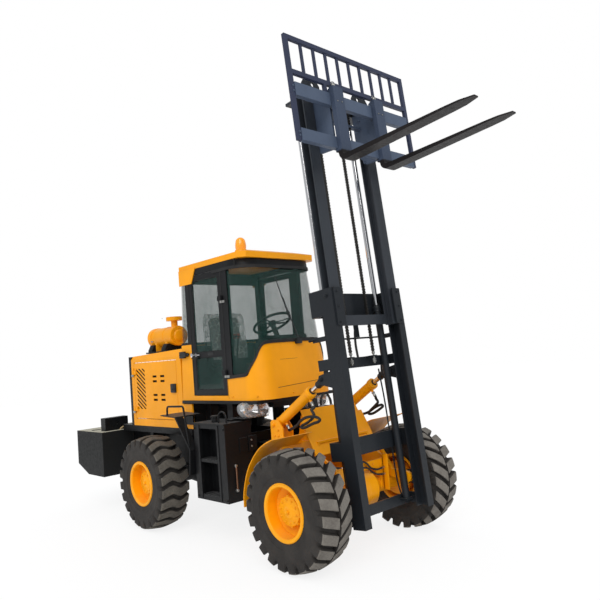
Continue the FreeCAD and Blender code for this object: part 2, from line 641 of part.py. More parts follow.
def inner_mast():
    """Inner mast: rails, cross members, head and chain wheels."""
    y_back = OUTER_DEPTH - OUTER_PLATE - RAIL_GAP
    top = INNER_FOOT + INNER_LENGTH
    inside = INNER_FLANGE_EDGE_X + 36
    pieces = [inner_rail(), mirrored(inner_rail()), inner_top(), mirrored(inner_top())]
    pieces.append(box(-inside, inside, y_back - 2, y_back + 16, INNER_FOOT + 10, INNER_FOOT + 100))
    edge = MAST_HALF_WIDTH - OUTER_PLATE - RAIL_GAP
    head = box(-edge, edge, y_back - 2, LIFT_BACK + 35, top - 95, top - 70)
    web = box(-edge, edge, y_back - 2, y_back + 14, top - 95, top)
    half = CHAIN_WHEEL_WIDTH / 2
    axis_up = top - 40
    for x in (-CHAIN_X, CHAIN_X):
        room = box(x - half - 12, x + half + 12, 0, CHAIN_WHEEL_BACK + CHAIN_WHEEL_RADIUS + 28, top - 150, top + 40)
        head = head.cut(room)
        web = web.cut(room)
        pieces.append(bar(Vector(x - half, CHAIN_WHEEL_BACK, axis_up), Vector(x + half, CHAIN_WHEEL_BACK, axis_up),
                          CHAIN_WHEEL_RADIUS))
    pieces.append(bar(Vector(-INNER_WEB_X - 2, CHAIN_WHEEL_BACK, top - 40),
                      Vector(INNER_WEB_X + 2, CHAIN_WHEEL_BACK, top - 40), 16))
    pieces += [head, web]
    return leaned(fused(*pieces))


def lift_rod():
    """Left lift cylinder's rod, from inside its barrel to the inner mast's head."""
    low, high = OUTER_LENGTH - 220, INNER_FOOT + INNER_LENGTH - 95.3
    return bar(Vector(LIFT_X, LIFT_BACK, low), Vector(LIFT_X, LIFT_BACK, high), LIFT_ROD_RADIUS)


# ---------------------------------------------------------------- carriage and forks
def carriage():
    """Fork carriage: two bars, upright plates and guide rollers."""
    y0, y1 = -CARRIAGE_FACE, -CARRIAGE_FACE + CARRIAGE_BAR
    half = CARRIAGE_HALF_WIDTH
    pieces = [box(-half, half, y0, y1, low, high) for low, high in (CARRIAGE_LOW_BAR, CARRIAGE_HIGH_BAR)]
    low, high = CARRIAGE_LOW_BAR[0] + 20, CARRIAGE_HIGH_BAR[1] + 40
    centre = OUTER_DEPTH / 2
    outline = [(y1 - 2, low), (20, low + 20), (centre + 36, low + 130), (centre + 36, high), (y1 - 2, high)]
    plate_x = INNER_FLANGE_EDGE_X - 32
    for sign in (-1, 1):
        inner = min(sign * plate_x, sign * (plate_x + 20))
        pieces.append(prism_x(outline, inner, inner + 20))
        for up in (CARRIAGE_LOW_BAR[1] + 100, CARRIAGE_HIGH_BAR[1]):
            ends = sorted((sign * (plate_x + 10), sign * (INNER_WEB_X - 7)))
            pieces.append(roller(ends[0], ends[1], centre, up, inner_roller_radius()))
    y_chain = CHAIN_WHEEL_BACK - CHAIN_WHEEL_RADIUS - 8
    pieces.append(box(-plate_x - 2, plate_x + 2, y_chain - 22, y_chain + 22,
                      CARRIAGE_HIGH_BAR[0] - 10, CARRIAGE_HIGH_BAR[0] + 10))
    return leaned(fused(*pieces))


def backrest():
    """Load backrest: side posts, two rails and upright bars."""
    y0, y1 = -CARRIAGE_FACE + 8, -CARRIAGE_FACE + 38
    edge = CARRIAGE_HALF_WIDTH + BACKREST_POST + 0.3
    pieces = []
    for x in (-edge, edge - BACKREST_POST):
        pieces.append(box(x, x + BACKREST_POST, y0, y1, CARRIAGE_LOW_BAR[0], BACKREST_TOP))
    for low in (BACKREST_MID, BACKREST_TOP - BACKREST_RAIL):
        pieces.append(box(-edge, edge, y0, y1, low, low + BACKREST_RAIL))
    clear = 2 * (edge - BACKREST_POST)
    for index in range(1, BACKREST_BARS + 1):
        x = -clear / 2 + clear * index / (BACKREST_BARS + 1)
        pieces.append(box(x - 12, x + 12, y0 + 6, y1 - 6, BACKREST_MID + 5, BACKREST_TOP - 5))
    for x in (-375.0, 345.0):
        pieces.append(box(x, x + 30, y0, y1, CARRIAGE_HIGH_BAR[1] + 0.3, BACKREST_MID + 5))
    return leaned(fused(*pieces))


def fork():
    """Left fork: shank with its hooks, heel and tapered blade."""
    back = -CARRIAGE_FACE - FORK_GAP
    face = back - FORK_THICK
    x0, x1 = FORK_X - FORK_WIDTH / 2, FORK_X + FORK_WIDTH / 2
    tip = face - FORK_LENGTH
    radius = FORK_HEEL_RADIUS
    outline = [(back, FORK_SHANK_TOP), (face, FORK_SHANK_TOP), (face, FORK_HEEL + radius),
               (face - 6, FORK_HEEL + FORK_THICK + 5), (face - 20, FORK_HEEL + FORK_THICK),
               (tip, FORK_HEEL + 16), (tip, FORK_HEEL + 6), (face - 300, FORK_HEEL)]
    for degrees in range(-90, 1, 15):
        angle = math.radians(degrees)
        outline.append((back - radius + radius * math.cos(angle), FORK_HEEL + radius + radius * math.sin(angle)))
    blade = prism_x(outline, x0, x1)
    taper = FORK_WIDTH * 0.3
    for x, side in ((x0, 1), (x1, -1)):
        corner = prism_z([(x, tip - 1), (x + side * taper, tip - 1), (x + side * 5, tip + 110),
                          (x - side, tip + 240), (x - side, tip - 1)], FORK_HEEL - 5, FORK_HEEL + 60)
        blade = blade.cut(corner)
    top = CARRIAGE_HIGH_BAR[1] + FORK_GAP
    hook = prism_x([(back, top), (-CARRIAGE_FACE + 26, top), (-CARRIAGE_FACE + 26, top + 30),
                    (back, top + 44)], x0, x1)
    low = CARRIAGE_LOW_BAR[0] - FORK_GAP
    claw = prism_x([(back, low - 34), (-CARRIAGE_FACE + 26, low - 26), (-CARRIAGE_FACE + 26, low),
                    (back, low)], x0, x1)
    shank = box(x0, x1, face, back + 0.01, FORK_HEEL + radius, FORK_SHANK_TOP)
    return leaned(fused(blade, shank, hook, claw))


# ---------------------------------------------------------------- cab
def cab_outline(front, rear, half, radius, z):
    """Plan of the cab at one height, with rounded front corners."""
    k = radius * (1 - math.sqrt(0.5))
    edges = [
        Part.LineSegment(Vector(half, rear, z), Vector(half, front + radius, z)),
        Part.Arc(Vector(half, front + radius, z), Vector(half - k, front + k, z),
                 Vector(half - radius, front, z)),
        Part.LineSegment(Vector(half - radius, front, z), Vector(radius - half, front, z)),
        Part.Arc(Vector(radius - half, front, z), Vector(k - half, front + k, z),
                 Vector(-half, front + radius, z)),
        Part.LineSegment(Vector(-half, front + radius, z), Vector(-half, rear, z)),
        Part.LineSegment(Vector(-half, rear, z), Vector(half, rear, z)),
    ]
    return Part.Wire([edge.toShape() for edge in edges])


def cab_body(inset):
    """The cab's outer form, or the same form set in by a wall's thickness."""
    half, radius = CAB_HALF_WIDTH - inset, CAB_CORNER_RADIUS - inset
    low = cab_outline(CAB_FRONT_LOW_Y + inset, CAB_REAR_LOW_Y - inset, half, radius, CAB_LOW_Z)
    high = cab_outline(CAB_FRONT_HIGH_Y + inset, CAB_REAR_HIGH_Y - inset, half, radius, CAB_HIGH_Z)
    return Part.makeLoft([low, high], True, True)


def cab_wall(outer, inner):
    """The layer of the cab's walls between two depths."""
    return cab_body(outer).cut(cab_body(inner))


def cowl_region():
    """Space below the front window's stepped lower edge, ahead of the doors."""
    wide = CAB_HALF_WIDTH + 50
    return prism_x([(CAB_FRONT_LOW_Y - 50, CAB_LOW_Z - 1), (DOOR_FRONT_Y, CAB_LOW_Z - 1),
                    (DOOR_FRONT_Y, WINDOW_LOW_Z - 20), (COWL_STEP_LOW_Y, WINDOW_LOW_Z),
                    (COWL_STEP_MID[0], COWL_STEP_MID[1]), (COWL_STEP_HIGH_Y, CAB_BELT_Z - 12),
                    (COWL_STEP_HIGH_Y - 22, CAB_BELT_Z - 1), (CAB_FRONT_LOW_Y - 50, CAB_BELT_Z)], -wide, wide)


def side_band(y0, y1, z0, z1):
    """Space through both cab sides between two stations and two heights."""
    wide = CAB_HALF_WIDTH + 50
    return box(-wide, wide, y0, y1, z0, z1).cut(box(-CAB_HALF_WIDTH + 60, CAB_HALF_WIDTH - 60, y0, y1, z0, z1))


def cab_shell():
    """Painted lower panels of the cab: cowl, sills, rear sides and rear wall."""
    wall = cab_wall(0, CAB_SKIN)
    cowl = wall.common(cowl_region())
    sill = wall.common(side_band(DOOR_FRONT_Y - 1, DOOR_REAR_Y + 1, CAB_LOW_Z, CAB_SILL_Z))
    wide = CAB_HALF_WIDTH + 50
    rear = wall.common(box(-wide, wide, DOOR_REAR_Y, CAB_REAR_LOW_Y + 50, CAB_LOW_Z, QUARTER_SILL_Z))
    return fused(cowl, sill, rear)


def window_holes():
    """Openings of the windows in the cab's upper walls."""
    wide = CAB_HALF_WIDTH + 50
    front = box(-wide, wide, 0, PILLAR_FRONT_Y, WINDOW_LOW_Z - 40, CAB_HEADER_Z)
    rear = box(-wide, wide, QUARTER_WINDOW_Y, CAB_REAR_LOW_Y + 50, QUARTER_SILL_Z + 25, CAB_HEADER_Z - 60)
    return front, rear


def cab_frame():
    """Dark frame of the cab: pillars, header and rear surround."""
    wall = cab_wall(0, CAB_SKIN + 12)
    wide = CAB_HALF_WIDTH + 50
    above = box(-wide, wide, 0, CAB_REAR_LOW_Y + 50, CAB_SILL_Z, CAB_HIGH_Z)
    frame = wall.common(above).cut(cowl_region())
    frame = frame.cut(box(-wide, wide, DOOR_REAR_Y - 1, CAB_REAR_LOW_Y + 50, CAB_LOW_Z, QUARTER_SILL_Z + 0.3))
    frame = frame.cut(box(-wide, wide, DOOR_FRONT_Y, DOOR_REAR_Y, CAB_SILL_Z - 1, CAB_HEADER_Z))
    for hole in window_holes():
        frame = frame.cut(hole)
    low = box(-wide, wide, PILLAR_FRONT_Y - 200, DOOR_FRONT_Y, CAB_SILL_Z - 60, WINDOW_LOW_Z - 10)
    frame = frame.cut(low)
    post = side_band(DOOR_REAR_Y, QUARTER_WINDOW_Y, QUARTER_SILL_Z + 0.3, CAB_HIGH_Z).common(wall)
    return fused(frame, post)


def windscreen():
    """Wrap-round front window between the front pillars."""
    front, _ = window_holes()
    glass = cab_wall(10, 10 + GLASS).common(front)
    keep = box(-900, 900, 0, PILLAR_FRONT_Y - GLASS_GAP, WINDOW_LOW_Z - 45, CAB_HEADER_Z - GLASS_GAP)
    lifted = cowl_region()
    lifted.translate(Vector(0, 0, GLASS_GAP))
    return glass.common(keep).cut(lifted)


def rear_windows():
    """Rear window, wrapped round both rear corners to the door posts."""
    _, rear = window_holes()
    return cab_wall(10, 10 + GLASS).common(rear)


def cab_base():
    """Dark floor frame under the cab, with its mounts on the rear frame."""
    outline_half = CAB_HALF_WIDTH + 14
    z1 = CAB_LOW_Z - 0.3
    z0 = z1 - FLOOR_PLATE
    floor = box(-outline_half, outline_half, CAB_FRONT_LOW_Y + 60, CAB_REAR_LOW_Y - 5, z0, z1)
    legs = [box(x - 45, x + 45, y - 45, y + 45, RAIL_HIGH_Z, z0 + 1)
            for x in (-RAIL_X, RAIL_X) for y in (PIVOT_Y + 190, CAB_REAR_LOW_Y - 240)]
    beam = box(-245, 245, CAB_FRONT_LOW_Y + 130, CAB_REAR_LOW_Y - 65, z0 - 60, z0 + 1)
    return fused(floor, beam, *legs)


def cab_roof():
    """Crowned roof with a deep edge and rear side skirts."""
    half = CAB_HALF_WIDTH + 2
    z = CAB_HIGH_Z + 0.3
    corner = 60.0
    plan = [(-half, ROOF_REAR_Y), (-half, ROOF_FRONT_Y + corner), (-half + corner, ROOF_FRONT_Y),
            (half - corner, ROOF_FRONT_Y), (half, ROOF_FRONT_Y + corner), (half, ROOF_REAR_Y)]
    slab = prism_z(plan, z, z + ROOF_PLATE)
    inset = 150.0
    low = loop([Vector(x, y, z + ROOF_PLATE) for x, y in plan])
    top_plan = [(-half + inset, ROOF_REAR_Y - inset), (-half + inset, ROOF_FRONT_Y + inset + 30),
                (-half + inset + 30, ROOF_FRONT_Y + inset), (half - inset - 30, ROOF_FRONT_Y + inset),
                (half - inset, ROOF_FRONT_Y + inset + 30), (half - inset, ROOF_REAR_Y - inset)]
    high = loop([Vector(x, y, z + ROOF_PLATE + ROOF_CROWN) for x, y in top_plan])
    crown = Part.makeLoft([low, high], True, True)
    skirt = prism_x([(1560, z), (ROOF_REAR_Y, z), (ROOF_REAR_Y, z - 150), (1640, z - 150)], half - 1, half + 8)
    shell = fused(slab, crown, skirt, mirrored(skirt), box(half - 2, half + 8, 1560, ROOF_REAR_Y, z - 1, z + 12),
                  mirrored(box(half - 2, half + 8, 1560, ROOF_REAR_Y, z - 1, z + 12)))
    return shell


def beacon():
    """Warning beacon: base and dome."""
    z = CAB_HIGH_Z + 0.3 + ROOF_PLATE + 24
    x, y = -CAB_HALF_WIDTH + 105, ROOF_FRONT_Y + 130
    base = Part.makeCylinder(62, 40, Vector(x, y, z - 24))
    dome = Part.makeCylinder(54, 62, Vector(x, y, z + 15))
    cap = Part.makeSphere(54, Vector(x, y, z + 77))
    return fused(base, dome, cap).cut(cab_roof())


def door_frame():
    """Left door's frame with its hinge knuckles, hollowed for two panes."""
    x0, x1 = CAB_HALF_WIDTH - CAB_SKIN, CAB_HALF_WIDTH
    y0, y1 = DOOR_FRONT_Y + DOOR_GAP, DOOR_REAR_Y - DOOR_GAP
    z0, z1 = CAB_SILL_Z + DOOR_GAP, CAB_HEADER_Z - DOOR_GAP
    panel = box(x0, x1, y0, y1, z0, z1)
    low = box(x0 - 1, x1 + 1, y0 + DOOR_FRAME, y1 - DOOR_FRAME, z0 + DOOR_FRAME, DOOR_RAIL_Z - DOOR_FRAME)
    high = box(x0 - 1, x1 + 1, y0 + DOOR_FRAME, y1 - DOOR_FRAME, DOOR_RAIL_Z, z1 - DOOR_FRAME)
    knuckles = []
    for z in (CAB_SILL_Z + 200, CAB_HEADER_Z - 320):
        centre = Vector(CAB_HALF_WIDTH + HINGE_STAND, DOOR_FRONT_Y, z)
        barrel = pipe(centre, centre + Vector(0, 0, 50), HINGE_RADIUS, 5 + PIN_FIT)
        leaf = box(CAB_HALF_WIDTH - 1, CAB_HALF_WIDTH + HINGE_STAND, DOOR_FRONT_Y + 7, DOOR_FRONT_Y + 60, z, z + 50)
        knuckles += [barrel, leaf.cut(bar(centre, centre + Vector(0, 0, 50), 8))]
    handle = bent_bar([Vector(x1 - 1, y1 - 28, 1735), Vector(x1 + 34, y1 - 28, 1735),
                       Vector(x1 + 34, y1 - 128, 1735), Vector(x1 - 1, y1 - 128, 1735)], 7, 12)
    return fused(panel.cut(low).cut(high), handle, *knuckles)


def door_glass():
    """Left door's two panes."""
    x1 = CAB_HALF_WIDTH - 10
    y0, y1 = DOOR_FRONT_Y + DOOR_GAP + DOOR_FRAME, DOOR_REAR_Y - DOOR_GAP - DOOR_FRAME
    g = GLASS_GAP
    low = box(x1 - GLASS, x1, y0 + g, y1 - g, CAB_SILL_Z + DOOR_GAP + DOOR_FRAME + g, DOOR_RAIL_Z - DOOR_FRAME - g)
    high = box(x1 - GLASS, x1, y0 + g, y1 - g, DOOR_RAIL_Z + g, CAB_HEADER_Z - DOOR_GAP - DOOR_FRAME - g)
    return Part.makeCompound([low, high])


def door_hinges():
    """Fixed halves of the left door's hinges, on the front pillar."""
    solids = []
    for z in (CAB_SILL_Z + 200, CAB_HEADER_Z - 320):
        centre = Vector(CAB_HALF_WIDTH + HINGE_STAND, DOOR_FRONT_Y, z)
        pin = bar(centre - Vector(0, 0, 24), centre + Vector(0, 0, 50), 5)
        cup = bar(centre - Vector(0, 0, 24), centre - Vector(0, 0, 1), HINGE_RADIUS)
        leaf = box(CAB_HALF_WIDTH + 0.3, CAB_HALF_WIDTH + HINGE_STAND, DOOR_FRONT_Y - 60, DOOR_FRONT_Y, z - 24, z - 1)
        solids.append(fused(pin, cup, leaf))
    return solids


def driver_seat():
    """Suspension seat: base, cushion and back."""
    floor = CAB_LOW_Z
    base = box(-190, 190, 1330, 1700, floor, floor + 230)
    cushion = box(-250, 250, 1270, 1750, floor + 230, floor + 340)
    back = prism_x([(1690, floor + 300), (1790, floor + 300), (1850, floor + 880), (1770, floor + 880)], -235, 235)
    return fused(base, cushion, back)


def steering_console():
    """Steering column with its wheel and dash box."""
    floor = CAB_LOW_Z
    foot = box(-110, 110, 760, 940, floor, floor + 420)
    dash = prism_x([(720, floor + 420), (960, floor + 420), (940, floor + 560), (760, floor + 600)], -260, 260)
    start = Vector(0, 860, floor + 500)
    lean = Vector(0, 0.45, 0.9).normalize()
    centre = start + lean * 260
    column = bar(start, centre, 26)
    ring = Part.makeTorus(195, 13, centre, lean)
    side = Vector(1, 0, 0)
    spokes = [bar(centre - side * 195, centre + side * 195, 9)]
    return fused(foot, dash, column, ring, *spokes)


def control_levers():
    """Stand with three hydraulic levers at the seat's right."""
    floor = CAB_LOW_Z
    stand = box(-430, -290, 1080, 1320, floor, floor + 400)
    levers = []
    for y in (1130.0, 1195.0, 1260.0):
        foot = Vector(-360, y, floor + 399)
        top = foot + Vector(0, -40, 230)
        levers += [bar(foot, top, 8), Part.makeSphere(22, top)]
    return fused(stand, *levers)


# ---------------------------------------------------------------- rear frame
def rear_chassis():
    """Rear frame: rails, cross members and the articulation forks."""
    y0, y1 = PIVOT_Y + 125, WEIGHT_FRONT_Y - 0.3
    rails = [box(x, x + RAIL_PLATE, y0, y1, RAIL_LOW_Z, RAIL_HIGH_Z)
             for x in (-RAIL_X - RAIL_PLATE / 2, RAIL_X - RAIL_PLATE / 2)]
    half = RAIL_X
    crosses = [box(-half, half, y, y + 24, RAIL_LOW_Z, RAIL_HIGH_Z) for y in (y0, y1 - 24)]
    belly = box(-half, half, 1800, 1960, RAIL_LOW_Z, RAIL_LOW_Z + 20)
    knuckles = []
    for z in (TONGUE_LOW_Z, TONGUE_HIGH_Z):
        for low in (z - TONGUE_GAP - 28, z + TONGUE_THICKNESS + TONGUE_GAP):
            plate = box(-TONGUE_RADIUS, TONGUE_RADIUS, PIVOT_Y, y0 + 30, low, low + 28)
            nose = Part.makeCylinder(TONGUE_RADIUS, 28, Vector(0, PIVOT_Y, low))
            knuckles += [plate, nose]
    pins = [Part.makeCylinder(PIVOT_PIN_RADIUS, TONGUE_THICKNESS + 2 * TONGUE_GAP + 56,
                              Vector(0, PIVOT_Y, z - TONGUE_GAP - 28)) for z in (TONGUE_LOW_Z, TONGUE_HIGH_Z)]
    drop = box(-150, 150, y0, y0 + 30, TONGUE_LOW_Z - TONGUE_GAP - 28, RAIL_LOW_Z + 10)
    steer = []
    for x in (-STEER_REAR[0], STEER_REAR[0]):
        for z in (STEER_PIN_Z - 50, STEER_PIN_Z + 28):
            steer.append(box(x - 60, x + 60, STEER_REAR[1] - 30, STEER_REAR[1] + 60, z, z + 22))
        steer.append(bar(Vector(x, STEER_REAR[1], STEER_PIN_Z - 50), Vector(x, STEER_REAR[1], STEER_PIN_Z + 50), 20))
        steer.append(box(x - 60, x + 60, STEER_REAR[1] + 40, STEER_REAR[1] + 60, RAIL_LOW_Z, RAIL_LOW_Z + 120))
    cross = box(-half, half, STEER_REAR[1] + 58, STEER_REAR[1] + 78, RAIL_LOW_Z, RAIL_LOW_Z + 120)
    inner, outer = STEER_WINDOW
    window = box(inner, outer, y0 - 5, y0 + 40, STEER_PIN_Z - 60, STEER_PIN_Z + 60)
    outriggers = []
    for sign in (-1, 1):
        for y in (TANK_REAR_Y - 80, 1900.0, 2700.0):
            ends = sorted((sign * RAIL_X, sign * (TANK_INNER_X - 0.3 if y < 1600 else HOOD_HALF_WIDTH - 40)))
            outriggers.append(box(ends[0], ends[1], y, y + 60, RAIL_HIGH_Z - 90, RAIL_HIGH_Z))
    pieces = rails + crosses + [belly, drop, cross] + knuckles + pins + steer + outriggers
    deck = box(-HOOD_HALF_WIDTH + 4, HOOD_HALF_WIDTH - 4, HOOD_APRON_Y + 30, WEIGHT_FRONT_Y - 60,
               RAIL_HIGH_Z - 1, HOOD_LOW_Z - 0.3)
    hole = box(-HOOD_HALF_WIDTH + 60, HOOD_HALF_WIDTH - 60, HOOD_APRON_Y + 90, HOOD_REAR_Y - 30,
               RAIL_HIGH_Z - 2, HOOD_LOW_Z)
    return fused(*pieces, deck.cut(hole)).cut(window).cut(mirrored(window))


def engine_hood():
    """Hood over the engine: sides with door openings, chamfered top and front wall."""
    w, t = HOOD_HALF_WIDTH, HOOD_SHEET
    side = [(HOOD_APRON_Y, HOOD_LOW_Z), (HOOD_REAR_Y, HOOD_LOW_Z), (HOOD_REAR_Y, HOOD_REAR_Z),
            (HOOD_FRONT_Y, HOOD_FRONT_Z), (HOOD_FRONT_Y, CAB_LOW_Z - 38), (HOOD_APRON_Y, CAB_LOW_Z - 38)]
    outer = prism_x(side, -w, w)
    c = HOOD_CHAMFER
    for sign in (-1, 1):
        top = HOOD_FRONT_Z + 20
        wedge = prism_y([(sign * (w + 1), HOOD_REAR_Z - c), (sign * (w + 1), top), (sign * (w - c - 20), top)],
                        HOOD_APRON_Y - 10, HOOD_REAR_Y + 10)
        outer = outer.cut(wedge)
    inside = [(HOOD_APRON_Y - 1, HOOD_LOW_Z - 1), (HOOD_REAR_Y + 1, HOOD_LOW_Z - 1),
              (HOOD_REAR_Y + 1, HOOD_REAR_Z - t), (HOOD_FRONT_Y + t, HOOD_FRONT_Z - t),
              (HOOD_FRONT_Y + t, CAB_LOW_Z - 38), (HOOD_APRON_Y - 1, CAB_LOW_Z - 38)]
    void = prism_x(inside, t - w, w - t)
    for sign in (-1, 1):
        top = HOOD_FRONT_Z + 20
        wedge = prism_y([(sign * (w - t + 1), HOOD_REAR_Z - c - t), (sign * (w - t + 1), top),
                         (sign * (w - c - 20 - t), top)], HOOD_APRON_Y - 10, HOOD_REAR_Y + 10)
        void = void.cut(wedge)
    shell = outer.cut(void)
    opening = box(-w - 1, w + 1, BAY_DOOR_FRONT_Y, BAY_DOOR_REAR_Y, BAY_DOOR_LOW_Z, BAY_DOOR_HIGH_Z)
    return shell.cut(opening)


def bay_door():
    """Left engine door, with its louvres and hinge barrels at the rear edge."""
    g = DOOR_GAP
    w, t = HOOD_HALF_WIDTH, 6.0
    y0, y1 = BAY_DOOR_FRONT_Y + g, BAY_DOOR_REAR_Y - g
    z0, z1 = BAY_DOOR_LOW_Z + g, BAY_DOOR_HIGH_Z - g
    panel = box(w - t, w, y0, y1, z0, z1)
    frame = box(w - 20, w - t + 1, y0, y1, z0, z1).cut(box(w - 21, w, y0 + 30, y1 - 30, z0 + 30, z1 - 30))
    cuts = []
    for column in BAY_SLOT_YS:
        for z in (1290.0, 1345.0, 1500.0, 1555.0):
            cuts.append(box(w - 30, w + 1, column - 46, column + 46, z, z + 24))
    (front, low), (back, high) = LOUVRE_LOW, LOUVRE_HIGH
    for index in range(LOUVRE_COUNT):
        z = low - LOUVRE_FALL + index * (high - low + LOUVRE_FALL) / LOUVRE_COUNT
        slit = prism_x([(front, z), (back, z + LOUVRE_FALL), (back, z + LOUVRE_FALL + 26), (front, z + 26)],
                       w - 30, w + 1)
        cuts.append(slit.common(box(w - 30, w + 1, front, back, low, high)))
    shape = fused(panel, frame)
    for cut in cuts:
        shape = shape.cut(cut)
    latch = box(w - 1, w + 16, y0 + 15, y0 + 105, 1385, 1475)
    knuckles = []
    for z in (BAY_DOOR_LOW_Z + 90, BAY_DOOR_HIGH_Z - 140):
        centre = Vector(w + HINGE_STAND, BAY_DOOR_REAR_Y, z)
        leaf = box(w - 1, w + HINGE_STAND, BAY_DOOR_REAR_Y - 60, BAY_DOOR_REAR_Y - 7, z, z + 50)
        knuckles += [pipe(centre, centre + Vector(0, 0, 50), HINGE_RADIUS, 5 + PIN_FIT),
                     leaf.cut(bar(centre, centre + Vector(0, 0, 50), 8))]
    return fused(shape, latch, *knuckles)


def bay_hinges():
    """Fixed halves of the left engine door's hinges."""
    solids = []
    w = HOOD_HALF_WIDTH
    for z in (BAY_DOOR_LOW_Z + 90, BAY_DOOR_HIGH_Z - 140):
        centre = Vector(w + HINGE_STAND, BAY_DOOR_REAR_Y, z)
        pin = bar(centre - Vector(0, 0, 24), centre + Vector(0, 0, 50), 5)
        cup = bar(centre - Vector(0, 0, 24), centre - Vector(0, 0, 1), HINGE_RADIUS)
        leaf = box(w + 0.3, w + HINGE_STAND, BAY_DOOR_REAR_Y, BAY_DOOR_REAR_Y + 50, z - 24, z - 1)
        solids.append(fused(pin, cup, leaf))
    return solids


def radiator_grille():
    """Dark shroud with bars, closing the rear of the hood."""
    w = HOOD_HALF_WIDTH
    y0, y1 = HOOD_REAR_Y + 0.3, HOOD_REAR_Y + SHROUD_DEPTH
    frame = box(-w, w, y0, y1, HOOD_LOW_Z, HOOD_REAR_Z - 2).cut(
        box(-w + 50, w - 50, y0 - 1, y1 + 1, HOOD_LOW_Z + 50, HOOD_REAR_Z - 60))
    bars = [box(-w + 49, w - 49, y0 + 15, y0 + 30, z, z + 14)
            for z in range(int(HOOD_LOW_Z) + 80, int(HOOD_REAR_Z) - 70, 45)]
    return fused(frame, *bars)


def engine_block():
    """Engine and radiator as one plain block on the rear frame."""
    half = RAIL_X - RAIL_PLATE / 2 - 0.3
    return box(-half, half, 2050, 2980, RAIL_LOW_Z + 80, 1500).cut(
        box(-400, 400, WHEELBASE - 220, WHEELBASE + 220, 0, RAIL_HIGH_Z - 60))


def air_cleaner():
    """Air cleaner lying on the hood, with its rain cap and saddle."""
    y0, y1 = 2345.0, 2855.0
    x, z, r = -250.0, 2015.0, 112.0
    body = bar(Vector(x, y0, z), Vector(x, y1, z), r)
    lid = bar(Vector(x, y1 - 60, z), Vector(x, y1 + 12, z), r + 6)
    neck = bar(Vector(x, y0 + 90, z), Vector(x, y0 + 90, z + 190), 38)
    cap = bar(Vector(x, y0 + 90, z + 178), Vector(x, y0 + 90, z + 222), 92)
    top_y = (y0 + y1) / 2
    top = HOOD_FRONT_Z + (HOOD_REAR_Z - HOOD_FRONT_Z) * (top_y - HOOD_FRONT_Y) / (HOOD_REAR_Y - HOOD_FRONT_Y)
    slope = (HOOD_REAR_Z - HOOD_FRONT_Z) / (HOOD_REAR_Y - HOOD_FRONT_Y)
    saddles = []
    for y in (y0 + 120, y1 - 160):
        under = [top + slope * (y + d - top_y) + 0.3 for d in (0, 40)]
        saddles.append(prism_x([(y, under[0]), (y + 40, under[1]), (y + 40, z - 40), (y, z - 40)], x - 95, x + 95))
    return fused(body, lid, neck, cap, *saddles)


def counterweight():
    """Rear counterweight with its chamfered lower rear edge and a lifting slot."""
    y0, y1, z0, z1 = WEIGHT_FRONT_Y, WEIGHT_REAR_Y, WEIGHT_LOW_Z, WEIGHT_HIGH_Z
    outline = [(y0, z0), (y1 - WEIGHT_CHAMFER_Y, z0), (y1, z0 + WEIGHT_CHAMFER_Z), (y1, z1), (y0, z1)]
    body = prism_x(outline, -WEIGHT_HALF_WIDTH, WEIGHT_HALF_WIDTH)
    return body


def lifting_block():
    """Left block standing on the counterweight, with a hole for a lifting pin."""
    z, y0, y1 = WEIGHT_HIGH_Z + 0.3, WEIGHT_FRONT_Y + 92, WEIGHT_FRONT_Y + 212
    block = box(LIFT_BLOCK_X[0], LIFT_BLOCK_X[1], y0, y1, z, z + 155)
    middle = sum(LIFT_BLOCK_X) / 2
    return block.cut(bar(Vector(middle, y0 - 5, z + 82), Vector(middle, y1 + 5, z + 82), LIFT_PIN_HOLE_RADIUS))


def side_tank():
    """Left tank box with its recessed ladder, deck plate, hoop and filler."""
    body = box(TANK_INNER_X, TANK_OUTER_X, TANK_FRONT_Y, TANK_REAR_Y, TANK_LOW_Z, TANK_HIGH_Z)
    recess = box(TANK_OUTER_X - LADDER_DEPTH, TANK_OUTER_X + 1, LADDER_FRONT_Y, LADDER_REAR_Y,
                 TANK_LOW_Z + 20, TANK_HIGH_Z - 40)
    steps = [box(TANK_OUTER_X - LADDER_DEPTH - 1, TANK_OUTER_X, LADDER_FRONT_Y - 1, LADDER_REAR_Y + 1, z, z + 26)
             for z in (TANK_LOW_Z + 22, 745.0)]
    rails = [box(TANK_OUTER_X - 30, TANK_OUTER_X + 6, y - 14, y + 14, TANK_LOW_Z + 10, TANK_HIGH_Z - 2)
             for y in (LADDER_FRONT_Y, LADDER_REAR_Y)]
    deck = box(TANK_INNER_X - 6, TANK_OUTER_X + 10, TANK_FRONT_Y - 4, TANK_REAR_Y, TANK_HIGH_Z - 1, TANK_HIGH_Z + 12)
    top = TANK_HIGH_Z + 11
    x, y = TANK_OUTER_X - 50, TANK_FRONT_Y + 90
    hoop = bent_bar([Vector(x, y - 62, top), Vector(x, y - 62, top + 105), Vector(x, y + 62, top + 105),
                     Vector(x, y + 62, top)], 8, 60)
    filler = Part.makeCylinder(38, 40, Vector(TANK_OUTER_X - 90, TANK_FRONT_Y + 260, top))
    plate = box(TANK_INNER_X + 60, TANK_INNER_X + 150, TANK_FRONT_Y - 10, TANK_FRONT_Y + 1, 830, 960)
    return fused(body.cut(recess), deck, hoop, filler, plate, *steps, *rails)


def headlight():
    """Left headlight in its housing, on a bracket over the tank's front edge."""
    low, x0, x1 = TANK_HIGH_Z + 36, 285.0, 590.0
    y0 = TANK_FRONT_Y - 89
    housing = box(x0, x1, y0, y0 + 150, low + 7, low + 128)
    housing = housing.makeFillet(24, [edge for edge in housing.Edges if abs(edge.tangentAt(0).y) > 0.9])
    shelf = box(x0, x1, y0 + 40, y0 + 190, low, low + 8)
    foot = box(TANK_INNER_X + 30, x1, y0 + 100, y0 + 190, TANK_HIGH_Z + 12.3, low + 1)
    return fused(housing, shelf, foot)


